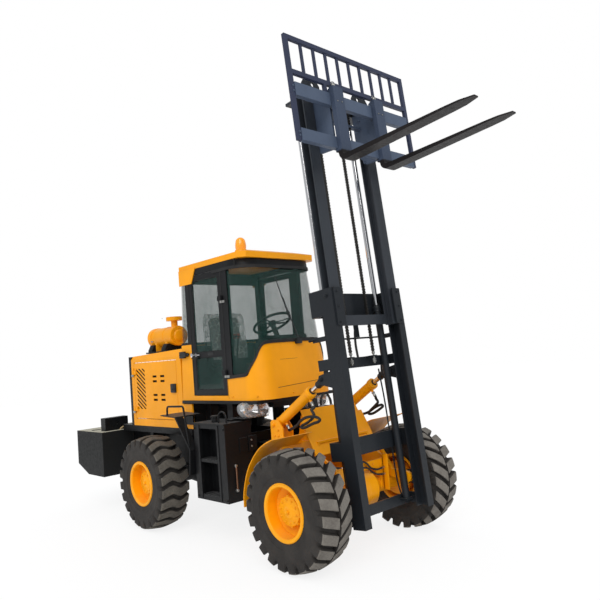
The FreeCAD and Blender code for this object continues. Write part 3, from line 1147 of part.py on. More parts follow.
def rear_guard():
    """Left mudguard ahead of the rear wheel, with its strap and grab hoop."""
    t, x1 = GUARD_PLATE, GUARD_OUTER_X
    z = 1165.0
    top = prism_x([(1920, z + 14), (1640, z), (1640, z - t), (1920, z + 14 - t)], HOOD_HALF_WIDTH + 0.3, x1)
    strap = prism_x([(1652, z - t), (1640, z), (1400, 852), (1426, 612), (1437, 613), (1411, 848)], x1 - 90, x1)
    hoop = bent_bar([Vector(x1 - 20, 1820, z + 4), Vector(x1 - 20, 1812, z + 100),
                     Vector(x1 - 20, 1512, z + 106), Vector(x1 - 20, 1436, 880)], 10, 30)
    brace = box(HOOD_HALF_WIDTH + 0.3, HOOD_HALF_WIDTH + 14, 1760, 1900, z - 120, z + 2)
    return fused(top, strap, hoop, brace)


def both(name, shape):
    """Left and right copies of a sub-part under two names."""
    return {f"left_{name}": shape, f"right_{name}": mirrored(shape)}


def sub_parts():
    """Every sub-part by name, drawn about the front axle."""
    front, rear = 0.0, WHEELBASE
    parts = {
        "rear_chassis": rear_chassis(), "counterweight": counterweight(), "lifting_blocks": pair(lifting_block()),
        "rear_axle": axle(rear, -1), "engine_block": engine_block(), "engine_hood": engine_hood(),
        "radiator_grille": radiator_grille(), "air_cleaner": air_cleaner(), "cab_base": cab_base(),
        "cab_shell": cab_shell(), "cab_frame": cab_frame(), "cab_roof": cab_roof(), "beacon": beacon(),
        "windscreen": windscreen(), "rear_windows": rear_windows(), "driver_seat": driver_seat(),
        "steering_console": steering_console(), "control_levers": control_levers(),
        "front_chassis": front_chassis(), "front_axle": axle(front, 1),
        "outer_mast": outer_mast(), "inner_mast": inner_mast(), "carriage": carriage(),
        "load_backrest": backrest(), "front_fenders": pair(front_fender()),
        "lift_barrels": leaned(pair(lift_barrel())), "lift_rods": leaned(pair(lift_rod())),
        "headlights": pair(headlight()), "forks": pair(fork()),
        "side_tanks": pair(side_tank()), "rear_guards": pair(rear_guard()),
    }
    hinges = door_hinges() + bay_hinges()
    parts["door_hinges"] = Part.makeCompound(hinges + [mirrored(hinge) for hinge in hinges])
    for name, shape in (("front_tyre", tyre(front)), ("front_rim", rim(front)), ("rear_tyre", tyre(rear)),
                        ("rear_rim", rim(rear)), ("tilt_barrel", tilt_barrel()), ("tilt_rod", tilt_rod()),
                        ("steer_barrel", steer_barrel()), ("steer_rod", steer_rod()),
                        ("cab_door", door_frame()), ("cab_door_glass", door_glass()),
                        ("engine_door", bay_door())):
        parts.update(both(name, shape))
    return parts


def main():
    """Build every sub-part, set it on the ground with its length centred, and write the files."""
    os.makedirs("parts", exist_ok=True)
    tip = leaned_point(0, -CARRIAGE_FACE - FORK_GAP - FORK_THICK - FORK_LENGTH, FORK_HEEL + 6)
    shift = Vector(0, -(WEIGHT_REAR_Y + tip.y) / 2, TYRE_RADIUS - AXLE_Z)
    for name, shape in sub_parts().items():
        placed = shape.copy()
        placed.translate(shift)
        placed.exportStep(f"parts/{name}.step")
    print("moved by", round(shift.y, 3), round(shift.z, 3))


main()
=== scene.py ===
"""Looks of a diesel rough-terrain forklift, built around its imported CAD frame.

Metres, in the row frame: +Z up, -Y the direction of travel, +X the machine's left.
Places are given from the ground under the front axle, or along the leaning mast, and
are turned into the row frame by Machine and MastFrame.
"""
import sys

import json
import logging
import math
import random
from dataclasses import dataclass, field
from enum import Enum
from typing import Any, Callable, Iterable, Optional, Sequence, Union

import bmesh
import bpy
from mathutils import Matrix, Vector, noise

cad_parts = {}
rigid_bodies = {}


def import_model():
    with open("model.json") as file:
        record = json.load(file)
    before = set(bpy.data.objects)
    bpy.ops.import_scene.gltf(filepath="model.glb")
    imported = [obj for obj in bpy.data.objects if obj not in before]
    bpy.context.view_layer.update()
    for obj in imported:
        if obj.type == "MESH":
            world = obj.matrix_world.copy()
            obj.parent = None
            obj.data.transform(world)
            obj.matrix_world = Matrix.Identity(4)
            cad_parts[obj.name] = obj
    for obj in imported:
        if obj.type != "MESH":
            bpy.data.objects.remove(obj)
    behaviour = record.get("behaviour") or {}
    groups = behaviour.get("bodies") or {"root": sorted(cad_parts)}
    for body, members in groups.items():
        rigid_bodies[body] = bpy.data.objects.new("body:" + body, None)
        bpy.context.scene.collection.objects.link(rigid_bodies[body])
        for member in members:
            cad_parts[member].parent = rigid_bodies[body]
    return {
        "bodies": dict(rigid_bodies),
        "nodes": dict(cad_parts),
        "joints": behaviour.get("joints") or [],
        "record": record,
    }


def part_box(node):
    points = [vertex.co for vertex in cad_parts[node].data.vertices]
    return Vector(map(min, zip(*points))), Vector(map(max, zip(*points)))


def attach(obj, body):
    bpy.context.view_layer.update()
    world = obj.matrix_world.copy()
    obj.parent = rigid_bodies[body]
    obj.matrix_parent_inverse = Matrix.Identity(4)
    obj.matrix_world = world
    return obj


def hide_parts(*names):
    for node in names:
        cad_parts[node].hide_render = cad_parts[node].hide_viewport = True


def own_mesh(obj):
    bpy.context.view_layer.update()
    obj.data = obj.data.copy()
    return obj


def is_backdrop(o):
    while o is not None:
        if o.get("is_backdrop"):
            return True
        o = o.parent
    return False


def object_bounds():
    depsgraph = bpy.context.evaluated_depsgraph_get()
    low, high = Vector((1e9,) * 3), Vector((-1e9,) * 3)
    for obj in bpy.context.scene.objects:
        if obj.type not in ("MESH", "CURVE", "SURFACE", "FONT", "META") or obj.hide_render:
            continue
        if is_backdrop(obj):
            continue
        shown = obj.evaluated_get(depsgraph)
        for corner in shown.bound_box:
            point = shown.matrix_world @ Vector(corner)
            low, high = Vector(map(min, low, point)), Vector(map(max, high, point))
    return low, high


log = logging.getLogger("forklift")
Colour = tuple[float, float, float]
Point = Sequence[float]


class Side(Enum):
    """A side of the machine, with the sign of its X."""

    LEFT = 1
    RIGHT = -1

    @property
    def word(self) -> str:
        """The side's name as the CAD bodies spell it."""
        return self.name.lower()


# ------------------------------------------------------------------ shader writing
class Wire:
    """One shader value. Operators on it add Math nodes to its tree."""

    def __init__(self, shader: "Shader", socket: bpy.types.NodeSocket) -> None:
        """Wrap an output socket of a shader's tree."""
        self.shader = shader
        self.socket = socket

    def maths(self, operation: str, *others: Any, first: bool = True) -> "Wire":
        """Add one Math node.

        Args:
            operation: The Math node's operation.
            others: Its other values, numbers or wires.
            first: True if this wire is the node's first value, False if it is the last.

        Returns:
            The node's result.
        """
        values = [self, *others] if first else [*others, self]
        node = self.shader.node("ShaderNodeMath", {"operation": operation}, dict(enumerate(values)))
        return Wire(self.shader, node.outputs[0])

    def __add__(self, other: Any) -> "Wire":
        """Sum."""
        return self.maths("ADD", other)

    __radd__ = __add__

    def __sub__(self, other: Any) -> "Wire":
        """Difference."""
        return self.maths("SUBTRACT", other)

    def __rsub__(self, other: Any) -> "Wire":
        """Difference with the number first."""
        return self.maths("SUBTRACT", other, first=False)

    def __mul__(self, other: Any) -> "Wire":
        """Product."""
        return self.maths("MULTIPLY", other)

    __rmul__ = __mul__

    def __truediv__(self, other: Any) -> "Wire":
        """Quotient."""
        return self.maths("DIVIDE", other)

    def __rtruediv__(self, other: Any) -> "Wire":
        """Quotient with the number first."""
        return self.maths("DIVIDE", other, first=False)

    def __pow__(self, other: Any) -> "Wire":
        """Power."""
        return self.maths("POWER", other)

    def sine(self) -> "Wire":
        """Sine of the value in radians."""
        return self.maths("SINE")

    def size(self) -> "Wire":
        """Absolute value."""
        return self.maths("ABSOLUTE")

    def ramp(self, low: float, high: float) -> "Wire":
        """Smooth step from 0 at low to 1 at high."""
        node = self.shader.node(
            "ShaderNodeMapRange", {"interpolation_type": "SMOOTHSTEP"},
            {"Value": self, "From Min": low, "From Max": high},
        )
        return Wire(self.shader, node.outputs[0])


class Shader:
    """A material's node tree, from one Principled shader up."""

    def __init__(self, name: str) -> None:
        """Start a material with a bare Principled shader.

        Args:
            name: The material's name.
        """
        self.material = bpy.data.materials.new(name)
        self.material.use_nodes = True
        self.tree = self.material.node_tree
        self.tree.nodes.clear()
        self.surface = self.node("ShaderNodeBsdfPrincipled")
        self.output = self.node("ShaderNodeOutputMaterial", sockets={"Surface": self.surface.outputs[0]})
        self._places: Optional[bpy.types.Node] = None

    def join(self, socket: bpy.types.NodeSocket, value: Any) -> None:
        """Link a wire or an output to a socket, or set the socket's own value."""
        if isinstance(value, Wire):
            value = value.socket
        if isinstance(value, bpy.types.NodeSocket):
            self.tree.links.new(value, socket)
        elif isinstance(value, tuple) and len(value) == 3 and len(getattr(socket, "default_value", ())) == 4:
            socket.default_value = (*value, 1.0)
        else:
            socket.default_value = value

    def node(self, kind: str, settings: Optional[dict[str, Any]] = None,
             sockets: Optional[dict[Any, Any]] = None) -> bpy.types.Node:
        """Add a node.

        Args:
            kind: The node's type.
            settings: Its settings, set before its sockets.
            sockets: Values or links by socket name or number.

        Returns:
            The node.
        """
        made = self.tree.nodes.new(kind)
        for name, value in (settings or {}).items():
            setattr(made, name, value)
        for key, value in (sockets or {}).items():
            self.join(made.inputs[key], value)
        return made

    def set(self, **sockets: Any) -> None:
        """Set or link sockets of the Principled shader, spaces written as underscores."""
        for name, value in sockets.items():
            self.join(self.surface.inputs[name.replace("_", " ")], value)

    @property
    def places(self) -> bpy.types.NodeSocket:
        """The piece's own coordinates, in metres."""
        if self._places is None:
            self._places = self.node("ShaderNodeTexCoord")
        return self._places.outputs["Object"]

    def stretched(self, scale: Point) -> bpy.types.NodeSocket:
        """The piece's coordinates, stretched along each axis."""
        node = self.node("ShaderNodeVectorMath", {"operation": "MULTIPLY"}, {0: self.places, 1: tuple(scale)})
        return node.outputs[0]

    def along(self, axis: str) -> Wire:
        """One of the piece's coordinates, X, Y or Z."""
        return Wire(self, self.node("ShaderNodeSeparateXYZ", sockets={0: self.places}).outputs[axis])

    def facing(self, axis: str = "Z") -> Wire:
        """One coordinate of the surface's direction."""
        normal = self.node("ShaderNodeNewGeometry").outputs["Normal"]
        return Wire(self, self.node("ShaderNodeSeparateXYZ", sockets={0: normal}).outputs[axis])

    def cloud(self, scale: float, detail: float = 3.0, vector: Any = None, roughness: float = 0.55) -> Wire:
        """Noise between 0 and 1.

        Args:
            scale: Its cells per metre.
            detail: Its octaves.
            vector: Coordinates other than the piece's own.
            roughness: How strong the finer octaves are.

        Returns:
            The noise.
        """
        node = self.node("ShaderNodeTexNoise", None, {
            "Vector": self.places if vector is None else vector,
            "Scale": scale, "Detail": detail, "Roughness": roughness})
        return Wire(self, node.outputs["Fac"])

    def cells(self, scale: float, feature: str = "F1", vector: Any = None) -> Wire:
        """Distance to the nearest of scattered points, or to their cells' edges."""
        node = self.node("ShaderNodeTexVoronoi", {"feature": feature}, {
            "Vector": self.places if vector is None else vector, "Scale": scale})
        return Wire(self, node.outputs["Distance"])

    def mix(self, share: Any, low: Any, high: Any) -> bpy.types.NodeSocket:
        """Colour between low and high.

        Args:
            share: How much of high shows, from 0 to 1.
            low: Colour at 0.
            high: Colour at 1.

        Returns:
            The mixed colour.
        """
        node = self.node("ShaderNodeMix", {"data_type": "RGBA"}, {0: share, 6: low, 7: high})
        return node.outputs[2]

    def bump(self, height: Wire, depth: float, strength: float = 1.0, over: Any = None) -> bpy.types.NodeSocket:
        """Surface direction bent by a height.

        Args:
            height: Height from 0 to 1.
            depth: Depth of the height's full swing, in metres.
            strength: How much of it shows.
            over: A direction that is bent already.

        Returns:
            The bent direction.
        """
        sockets: dict[Any, Any] = {"Height": height, "Distance": depth, "Strength": strength}
        if over is not None:
            sockets["Normal"] = over
        return self.node("ShaderNodeBump", None, sockets).outputs[0]


def tint(red: int, green: int, blue: int) -> Colour:
    """Screen colour, from 0 to 255 each, as the linear colour that a shader takes."""
    def linear(level: int) -> float:
        share = level / 255
        return share / 12.92 if share <= 0.04045 else ((share + 0.055) / 1.055) ** 2.4

    return linear(red), linear(green), linear(blue)


def scaled(colour: Colour, by: float) -> Colour:
    """A colour made darker or lighter."""
    return tuple(min(1.0, part * by) for part in colour)


# ------------------------------------------------------------------ finishes
class Finish:
    """A surface finish that makes its material once."""

    def build(self, shader: Shader) -> None:
        """Wire up the finish's material."""
        raise NotImplementedError

    def material(self) -> bpy.types.Material:
        """The finish's material, made at its first use."""
        name = getattr(self, "name")
        found = bpy.data.materials.get(name)
        if found is None:
            shader = Shader(name)
            self.build(shader)
            found = shader.material
        return found


@dataclass(frozen=True)
class Paint(Finish):
    """Sprayed paint on steel, with orange peel, faint clouding, dust on top and runs of grime."""

    name: str
    colour: Colour
    roughness: float = 0.36
    coat: float = 0.35
    dust: float = 0.25
    grime: float = 0.25
    peel: float = 0.0006
    metallic: float = 0.0
    edge: float = 0.004
    shine: float = 0.24
    wave: float = 0.0
    dust_colour: Colour = tint(196, 188, 172)

    def base(self, shader: Shader) -> Any:
        """Colour under the dirt."""
        return shader.mix(shader.cloud(2.2, 4.0).ramp(0.3, 0.7), scaled(self.colour, 0.93), scaled(self.colour, 1.05))

    def build(self, shader: Shader) -> None:
        """Wire up the paint."""
        fine = shader.cloud(38.0, 5.0)
        body = self.base(shader)
        streaks = shader.cloud(9.0, 4.0, shader.stretched((1.0, 1.0, 0.12)))
        low = 1.0 - shader.along("Z").ramp(0.25, 1.6)
        dirty = streaks.ramp(0.52, 0.78) * (0.35 + 0.65 * low) * self.grime
        body = shader.mix(dirty, body, scaled(self.colour, 0.32))
        settled = shader.facing().ramp(0.55, 0.98) * (0.5 + 0.5 * fine.ramp(0.3, 0.72)) * self.dust
        body = shader.mix(settled, body, self.dust_colour)
        shader.set(
            Base_Color=body,
            Roughness=self.roughness + 0.14 * fine.ramp(0.35, 0.75) + 0.3 * settled,
            Metallic=self.metallic,
            Specular_IOR_Level=self.shine,
            Coat_Weight=self.coat,
            Coat_Roughness=0.18,
        )
        rounded = shader.node("ShaderNodeBevel", {"samples": 4}, {"Radius": self.edge}).outputs[0]
        if self.wave > 0.0:
            rounded = shader.bump(shader.cloud(2.6, 1.0, shader.stretched((1.0, 1.0, 0.55))), self.wave, 1.0, rounded)
        shader.set(Normal=shader.bump(shader.cloud(240.0, 2.0), self.peel, 0.35, rounded))


@dataclass(frozen=True)
class ForkPaint(Paint):
    """Paint left on the forks' shanks, and worn to dark steel on their blades."""

    shank: Colour = tint(66, 77, 97)
    lean: float = 0.0833
    face: float = -1.979
    heel: float = 3.243

    def base(self, shader: Shader) -> Any:
        """Shank paint behind the forks' face, and the blades' colour ahead of it."""
        upright = math.sqrt(1.0 - self.lean ** 2)
        scuff = 0.02 * (shader.cloud(30.0) - 0.5)
        ahead = shader.along("Y") * upright - shader.along("Z") * self.lean + scuff
        rise = shader.along("Y") * self.lean + shader.along("Z") * upright + scuff
        worn = 1.0 - ahead.ramp(self.face - 0.012, self.face) * rise.ramp(self.heel - 0.01, self.heel + 0.01)
        return shader.mix(worn, self.shank, super().base(shader))


@dataclass(frozen=True)
class Rubber(Finish):
    """Tyre or seal rubber, with a worn and dusty bloom."""

    name: str
    colour: Colour
    bloom: Colour
    amount: float = 0.35
    roughness: float = 0.72

    def build(self, shader: Shader) -> None:
        """Wire up the rubber."""
        patch = shader.cloud(7.0, 5.0)
        fine = shader.cloud(55.0, 4.0)
        bloom = (patch.ramp(0.35, 0.72) * 0.6 + fine.ramp(0.4, 0.7) * 0.4) * self.amount
        shader.set(
            Base_Color=shader.mix(bloom, self.colour, self.bloom),
            Roughness=self.roughness + 0.2 * fine.ramp(0.3, 0.7),
            Normal=shader.bump(fine * 0.7 + shader.cells(190.0) * 0.3, 0.0012, 0.5),
        )


@dataclass(frozen=True)
class BareMetal(Finish):
    """Chromed, ground or plated metal with fine running marks."""

    name: str
    colour: Colour
    roughness: float = 0.12
    marks: float = 0.2
    soil: float = 0.15

    def build(self, shader: Shader) -> None:
        """Wire up the metal."""
        lines = shader.cloud(60.0, 5.0, shader.stretched((1.0, 6.0, 6.0)))
        patch = shader.cloud(16.0, 4.0)
        shader.set(
            Base_Color=shader.mix(patch.ramp(0.5, 0.8) * self.soil, self.colour, scaled(self.colour, 0.35)),
            Metallic=1.0,
            Roughness=self.roughness + self.marks * lines.ramp(0.35, 0.75),
            Normal=shader.bump(lines, 0.0002, 0.4),
        )


@dataclass(frozen=True)
class Plastic(Finish):
    """Moulded plastic with a fine grain."""

    name: str
    colour: Colour
    roughness: float = 0.5
    grain: float = 0.0005
    alpha: float = 1.0
    coat: float = 0.0
    glow: float = 0.0

    def build(self, shader: Shader) -> None:
        """Wire up the plastic."""
        fine = shader.cloud(150.0, 3.0)
        patch = shader.cloud(6.0, 3.0)
        shader.set(
            Base_Color=shader.mix(patch.ramp(0.3, 0.75), scaled(self.colour, 0.88), scaled(self.colour, 1.1)),
            Roughness=self.roughness + 0.12 * fine,
            Coat_Weight=self.coat,
            Normal=shader.bump(fine, self.grain, 0.4),
        )
        if self.alpha < 1.0:
            shader.set(Alpha=self.alpha + 0.12 * (patch - 0.5))
        if self.glow > 0.0:
            shader.set(Emission_Color=self.colour, Emission_Strength=self.glow)


@dataclass(frozen=True)
class Pane(Finish):
    """Tinted window glass: pale, glossy and partly see-through, with a faint film of dust."""

    name: str
    colour: Colour
    veil: float = 0.4

    def build(self, shader: Shader) -> None:
        """Wire up the glass."""
        haze = shader.cloud(3.0, 4.0)
        smear = shader.cloud(14.0, 4.0, shader.stretched((1.0, 1.0, 0.3)))
        shader.set(
            Base_Color=shader.mix(haze.ramp(0.35, 0.7), self.colour, scaled(self.colour, 1.15)),
            Roughness=0.03 + 0.1 * smear.ramp(0.45, 0.8),
            Alpha=self.veil + 0.14 * (haze - 0.5) + 0.06 * smear.ramp(0.5, 0.8),
            IOR=1.52,
            Normal=shader.bump(haze, 0.002, 0.05),
        )


@dataclass(frozen=True)
class Film(Finish):
    """Crumpled clear wrapping film."""

    name: str
    veil: float = 0.6

    def build(self, shader: Shader) -> None:
        """Wire up the film."""
        creases = shader.cells(17.0, "DISTANCE_TO_EDGE")
        folds = shader.cloud(12.0, 5.0)
        bright = 1.0 - creases.ramp(0.0, 0.12)
        shader.set(
            Base_Color=tint(226, 232, 230),
            Roughness=0.16 + 0.2 * folds,
            Alpha=self.veil * 0.6 + 0.55 * bright * folds.ramp(0.35, 0.6) + 0.15 * folds.ramp(0.5, 0.8),
            Normal=shader.bump(folds * 0.6 + bright * 0.4, 0.02, 0.8),
        )


@dataclass(frozen=True)
class Vinyl(Finish):
    """Seat vinyl with a leather grain."""

    name: str
    colour: Colour

    def build(self, shader: Shader) -> None:
        """Wire up the vinyl."""
        grain = shader.cells(320.0)
        patch = shader.cloud(9.0, 4.0)
        shader.set(
            Base_Color=shader.mix(patch.ramp(0.3, 0.75), self.colour, scaled(self.colour, 1.5)),
            Roughness=0.48 + 0.2 * patch,
            Normal=shader.bump(grain, 0.0012, 0.6),
        )


class Finishes:
    """Every finish on the machine."""

    YELLOW = Paint("body yellow paint", tint(245, 160, 4), coat=0.05, dust=0.26, grime=0.2, wave=0.02,
                   dust_colour=tint(246, 222, 178))
    RIM = Paint("rim yellow paint", tint(250, 168, 5), roughness=0.42, coat=0.05, dust=0.08, grime=0.35)
    CHARCOAL = Paint("mast charcoal paint", tint(30, 34, 39), roughness=0.42, coat=0.1, dust=0.15, grime=0.3)
    INNER = Paint("inner mast paint", tint(50, 54, 60), roughness=0.4, coat=0.1, dust=0.2, grime=0.75)
    BACKREST = Paint("backrest navy paint", tint(50, 56, 78), roughness=0.45, coat=0.1, dust=0.15, grime=0.5)
    SHANK = Paint("carriage slate paint", tint(76, 88, 108), roughness=0.45, coat=0.1, dust=0.15, grime=0.25)
    GREY = Paint("counterweight grey paint", tint(25, 26, 26), roughness=0.55, coat=0.0, dust=1.5, grime=0.3,
                 dust_colour=tint(176, 172, 156), peel=0.0012)
    BLACK = Paint("frame black paint", tint(15, 16, 18), roughness=0.42, coat=0.05, dust=0.4, grime=0.2,
                  dust_colour=tint(140, 140, 140))
    CAB_BLACK = Paint("cab black paint", tint(14, 15, 18), roughness=0.38, coat=0.1, dust=0.12, grime=0.1)
    BLADE = ForkPaint("fork blade black", tint(30, 26, 26), roughness=0.5, coat=0.1, dust=0.2, grime=0.5, metallic=0.2)
    CAST = Paint("engine grey paint", tint(58, 60, 62), roughness=0.6, coat=0.0, dust=0.4, grime=0.6, peel=0.002)
    CASING = Rubber("tyre casing rubber", tint(34, 31, 29), tint(80, 74, 68), amount=0.4)
    # The two tread finishes paint the lug tops a light grey, far above the casing's dark rubber: a painted highlight of
    # their lit tops, with a dust bloom on it. The rear's is darker and worn.
    TREAD = Rubber("tyre tread rubber", tint(118, 113, 106), tint(84, 79, 74), amount=0.8, roughness=0.85)
    WORN = Rubber("worn tread rubber", tint(94, 89, 81), tint(64, 60, 55), amount=0.8, roughness=0.8)
    SEAL = Rubber("black seal rubber", tint(22, 22, 23), tint(60, 60, 60), amount=0.25, roughness=0.6)
    HOSE = Rubber("hose rubber", tint(24, 24, 25), tint(70, 68, 64), amount=0.25, roughness=0.5)
    CHROME = BareMetal("hard chrome", (0.78, 0.78, 0.8), roughness=0.08, marks=0.12, soil=0.2)
    STEEL = BareMetal("plated steel", tint(176, 176, 172), roughness=0.3, marks=0.25, soil=0.35)
    CHAIN = BareMetal("oiled chain steel", tint(78, 76, 74), roughness=0.42, marks=0.2, soil=0.6)
    GLASS = Pane("tinted window glass", tint(40, 70, 64), veil=0.3)
    LENS = Pane("clear lamp lens", tint(236, 240, 242), veil=0.2)
    GAUGE = Pane("sight gauge glass", tint(110, 78, 58), veil=0.85)
    AMBER = Plastic("amber lens", tint(246, 156, 10), roughness=0.18, alpha=0.86, coat=0.5, glow=0.18)
    MOULDED = Plastic("black moulded plastic", tint(30, 31, 33))
    HOUSING = Plastic("grey lamp housing", tint(150, 152, 154), roughness=0.3, alpha=0.8, coat=0.3)
    KNOB = Plastic("red knob", tint(150, 28, 24), roughness=0.3, coat=0.4)
    VINYL = Vinyl("seat vinyl", tint(46, 47, 50))
    FILM = Film("wrapping film")
    TIE = Plastic("sand wire", tint(186, 160, 116), roughness=0.5)


# ------------------------------------------------------------------ mesh building
def across_of(axis: Vector) -> Vector:
    """A direction square to an axis."""
    guess = Vector((0.0, 0.0, 1.0)) if abs(axis.z) < 0.9 else Vector((0.0, 1.0, 0.0))
    return axis.cross(guess).normalized()


class Form:
    """A mesh being built, in the row frame."""

    def __init__(self) -> None:
        """Start with nothing."""
        self.mesh = bmesh.new()
        self.slot = 0

    def face(self, corners: Iterable[bmesh.types.BMVert]) -> Optional[bmesh.types.BMFace]:
        """Add one face, unless it is there already."""
        try:
            made = self.mesh.faces.new(list(corners))
        except ValueError:
            return None
        made.material_index = self.slot
        return made

    def grid(self, rows: Sequence[Sequence[Point]], around: bool = False, closed: bool = False) -> list[list[bmesh.types.BMVert]]:
        """Skin over rows of points.

        Args:
            rows: Rows of as many points each.
            around: True if each row is a ring.
            closed: True if the last row meets the first.

        Returns:
            The points' vertices, by row.
        """
        made = [[self.mesh.verts.new(point) for point in row] for row in rows]
        count = len(made)
        for index in range(count if closed else count - 1):
            low, high = made[index], made[(index + 1) % count]
            for step in range(len(low) if around else len(low) - 1):
                after = (step + 1) % len(low)
                self.face((low[step], low[after], high[after], high[step]))
        return made

    def prism(self, outline: Sequence[Point], depth: Vector, bevel: float = 0.0, steps: int = 2) -> None:
        """Outline drawn out along a depth, with softened edges.

        Args:
            outline: The outline's points.
            depth: How far it is drawn, and which way.
            bevel: Width of the softened edges.
            steps: Segments across each softened edge.
        """
        low = [self.mesh.verts.new(Vector(point)) for point in outline]
        high = [self.mesh.verts.new(Vector(point) + depth) for point in outline]
        self.face(reversed(low))
        self.face(high)
        for index in range(len(low)):
            after = (index + 1) % len(low)
            self.face((low[index], low[after], high[after], high[index]))
        faces = {face for vert in low + high for face in vert.link_faces}
        bmesh.ops.recalc_face_normals(self.mesh, faces=list(faces))
        if bevel > 0.0:
            edges = list({edge for face in faces for edge in face.edges})
            done = bmesh.ops.bevel(self.mesh, geom=edges, offset=bevel, offset_type="OFFSET",
                                   segments=steps, profile=0.6, affect="EDGES", clamp_overlap=True)
            for face in done["faces"]:
                face.material_index = self.slot

    def block(self, low: Point, high: Point, bevel: float = 0.003, steps: int = 2) -> None:
        """Block between two corners, with softened edges."""
        a, b = Vector(low), Vector(high)
        outline = [(a.x, a.y, a.z), (b.x, a.y, a.z), (b.x, b.y, a.z), (a.x, b.y, a.z)]
        self.prism(outline, Vector((0.0, 0.0, b.z - a.z)), bevel, steps)

    def turn(self, profile: Sequence[tuple[float, float]], start: Vector, axis: Vector, steps: int = 24) -> None:
        """Outline turned about an axis.

        Args:
            profile: Distance along the axis and radius, point by point. A radius of 0 closes an end.
            start: Where distance 0 is.
            axis: The axis.
            steps: Facets round it.
        """
        axis = axis.normalized()
        side = across_of(axis)
        other = axis.cross(side)
        rings: list[list[bmesh.types.BMVert]] = []
        for along, radius in profile:
            centre = start + axis * along
            if radius <= 1e-6:
                rings.append([self.mesh.verts.new(centre)])
                continue
            angles = [math.tau * index / steps for index in range(steps)]
            rings.append([self.mesh.verts.new(centre + (side * math.cos(a) + other * math.sin(a)) * radius)
                          for a in angles])
        for low, high in zip(rings, rings[1:]):
            for index in range(steps):
                after = (index + 1) % steps
                if len(low) == 1 and len(high) == 1:
                    break
                if len(low) == 1:
                    self.face((low[0], high[after], high[index]))
                elif len(high) == 1:
                    self.face((low[index], low[after], high[0]))
                else:
                    self.face((low[index], low[after], high[after], high[index]))

    def tube(self, path: Sequence[Point], radius: Union[float, Callable[[float], float]], sides: int = 10,
             closed: bool = False, flat: float = 1.0) -> None:
        """Round or flattened tube along a path.

        Args:
            path: Points of its centre line.
            radius: Its radius, or a function of the share of the path.
            sides: Facets round it.
            closed: True if the path is a ring.
            flat: Its height as a share of its width.
        """
        points = [Vector(point) for point in path]
        count = len(points)
        side: Optional[Vector] = None
        rows = []
        for index, point in enumerate(points):
            before = points[index - 1] if closed or index > 0 else point
            after = points[(index + 1) % count] if closed or index < count - 1 else point
            along = (after - before).normalized()
            if side is None:
                side = across_of(along)
            side = (side - along * side.dot(along)).normalized()
            other = along.cross(side)
            size = radius(index / max(1, count - 1)) if callable(radius) else radius
            rows.append([point + (side * math.cos(math.tau * k / sides) * size
                                  + other * math.sin(math.tau * k / sides) * size * flat) for k in range(sides)])
        made = self.grid(rows, around=True, closed=closed)
        if not closed:
            self.face(reversed(made[0]))
            self.face(made[-1])

    def bolt(self, place: Vector, axis: Vector, size: float = 0.01, washer: bool = True) -> None:
        """Hexagon bolt head standing on a surface, with its washer and domed top."""
        axis = axis.normalized()
        if washer:
            self.turn([(0.0, 0.0), (0.0, size * 1.25), (size * 0.22, size * 1.2), (size * 0.22, 0.0)], place, axis, 14)
        rim = size * 0.22 if washer else 0.0
        self.turn([(rim, size), (rim + size * 0.72, size), (rim + size * 0.85, size * 0.82), (rim + size * 0.85, 0.0)],
                  place, axis, 6)
        self.turn([(rim + size * 0.84, size * 0.45), (rim + size * 1.1, size * 0.4), (rim + size * 1.15, 0.0)],
                  place, axis, 8)

    def weld(self, start: Vector, end: Vector, size: float = 0.005) -> None:
        """Weld bead between two points."""
        count = max(4, int((end - start).length / 0.012))
        rows = [start.lerp(end, index / count) for index in range(count + 1)]
        self.tube(rows, lambda share: size * (0.85 + 0.15 * math.sin(share * count * 2.1)), 6)

    def finish(self, name: str, finishes: Union[Finish, Sequence[Finish]], body: Optional[str], slot: Optional[str],
               smooth: float = 38.0, merge: bool = False) -> bpy.types.Object:
        """Turn the form into a piece that rides on a body.

        Args:
            name: The piece's name.
            finishes: Its finish, or one for each of its material numbers.
            body: The CAD body it rides on, or None.
            slot: The record's material slot for the piece; not used.
            smooth: Edges bent by more than this many degrees stay sharp.
            merge: True to join points that meet.

        Returns:
            The piece.
        """
        if merge:
            bmesh.ops.remove_doubles(self.mesh, verts=self.mesh.verts, dist=1e-5)
        bmesh.ops.recalc_face_normals(self.mesh, faces=self.mesh.faces)
        limit = math.radians(smooth)
        for face in self.mesh.faces:
            face.smooth = True
        for edge in self.mesh.edges:
            edge.smooth = len(edge.link_faces) == 2 and edge.calc_face_angle(0.0) < limit
        data = bpy.data.meshes.new(name)
        self.mesh.to_mesh(data)
        self.mesh.free()
        for finish in [finishes] if isinstance(finishes, Finish) else finishes:
            data.materials.append(finish.material())
        made = bpy.data.objects.new(name, data)
        bpy.context.scene.collection.objects.link(made)
        if body is not None:
            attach(made, body)
        log.info("piece %s: %d faces", name, len(data.polygons))
        return made


def bent(points: Sequence[Point], steps: int = 8) -> list[Vector]:
    """Smooth path through points.

    Args:
        points: Points that the path goes through.
        steps: Steps between two of them.

    Returns:
        Points along the path.
    """
    knots = [Vector(point) for point in points]
    knots = [knots[0] * 2 - knots[1], *knots, knots[-1] * 2 - knots[-2]]
    path = []
    for index in range(1, len(knots) - 2):
        a, b, c, d = knots[index - 1: index + 3]
        for step in range(steps):
            t = step / steps
            path.append(0.5 * (2 * b + (c - a) * t + (2 * a - 5 * b + 4 * c - d) * t ** 2
                               + (3 * b - a - 3 * c + d) * t ** 3))
    path.append(knots[-2])
    return path


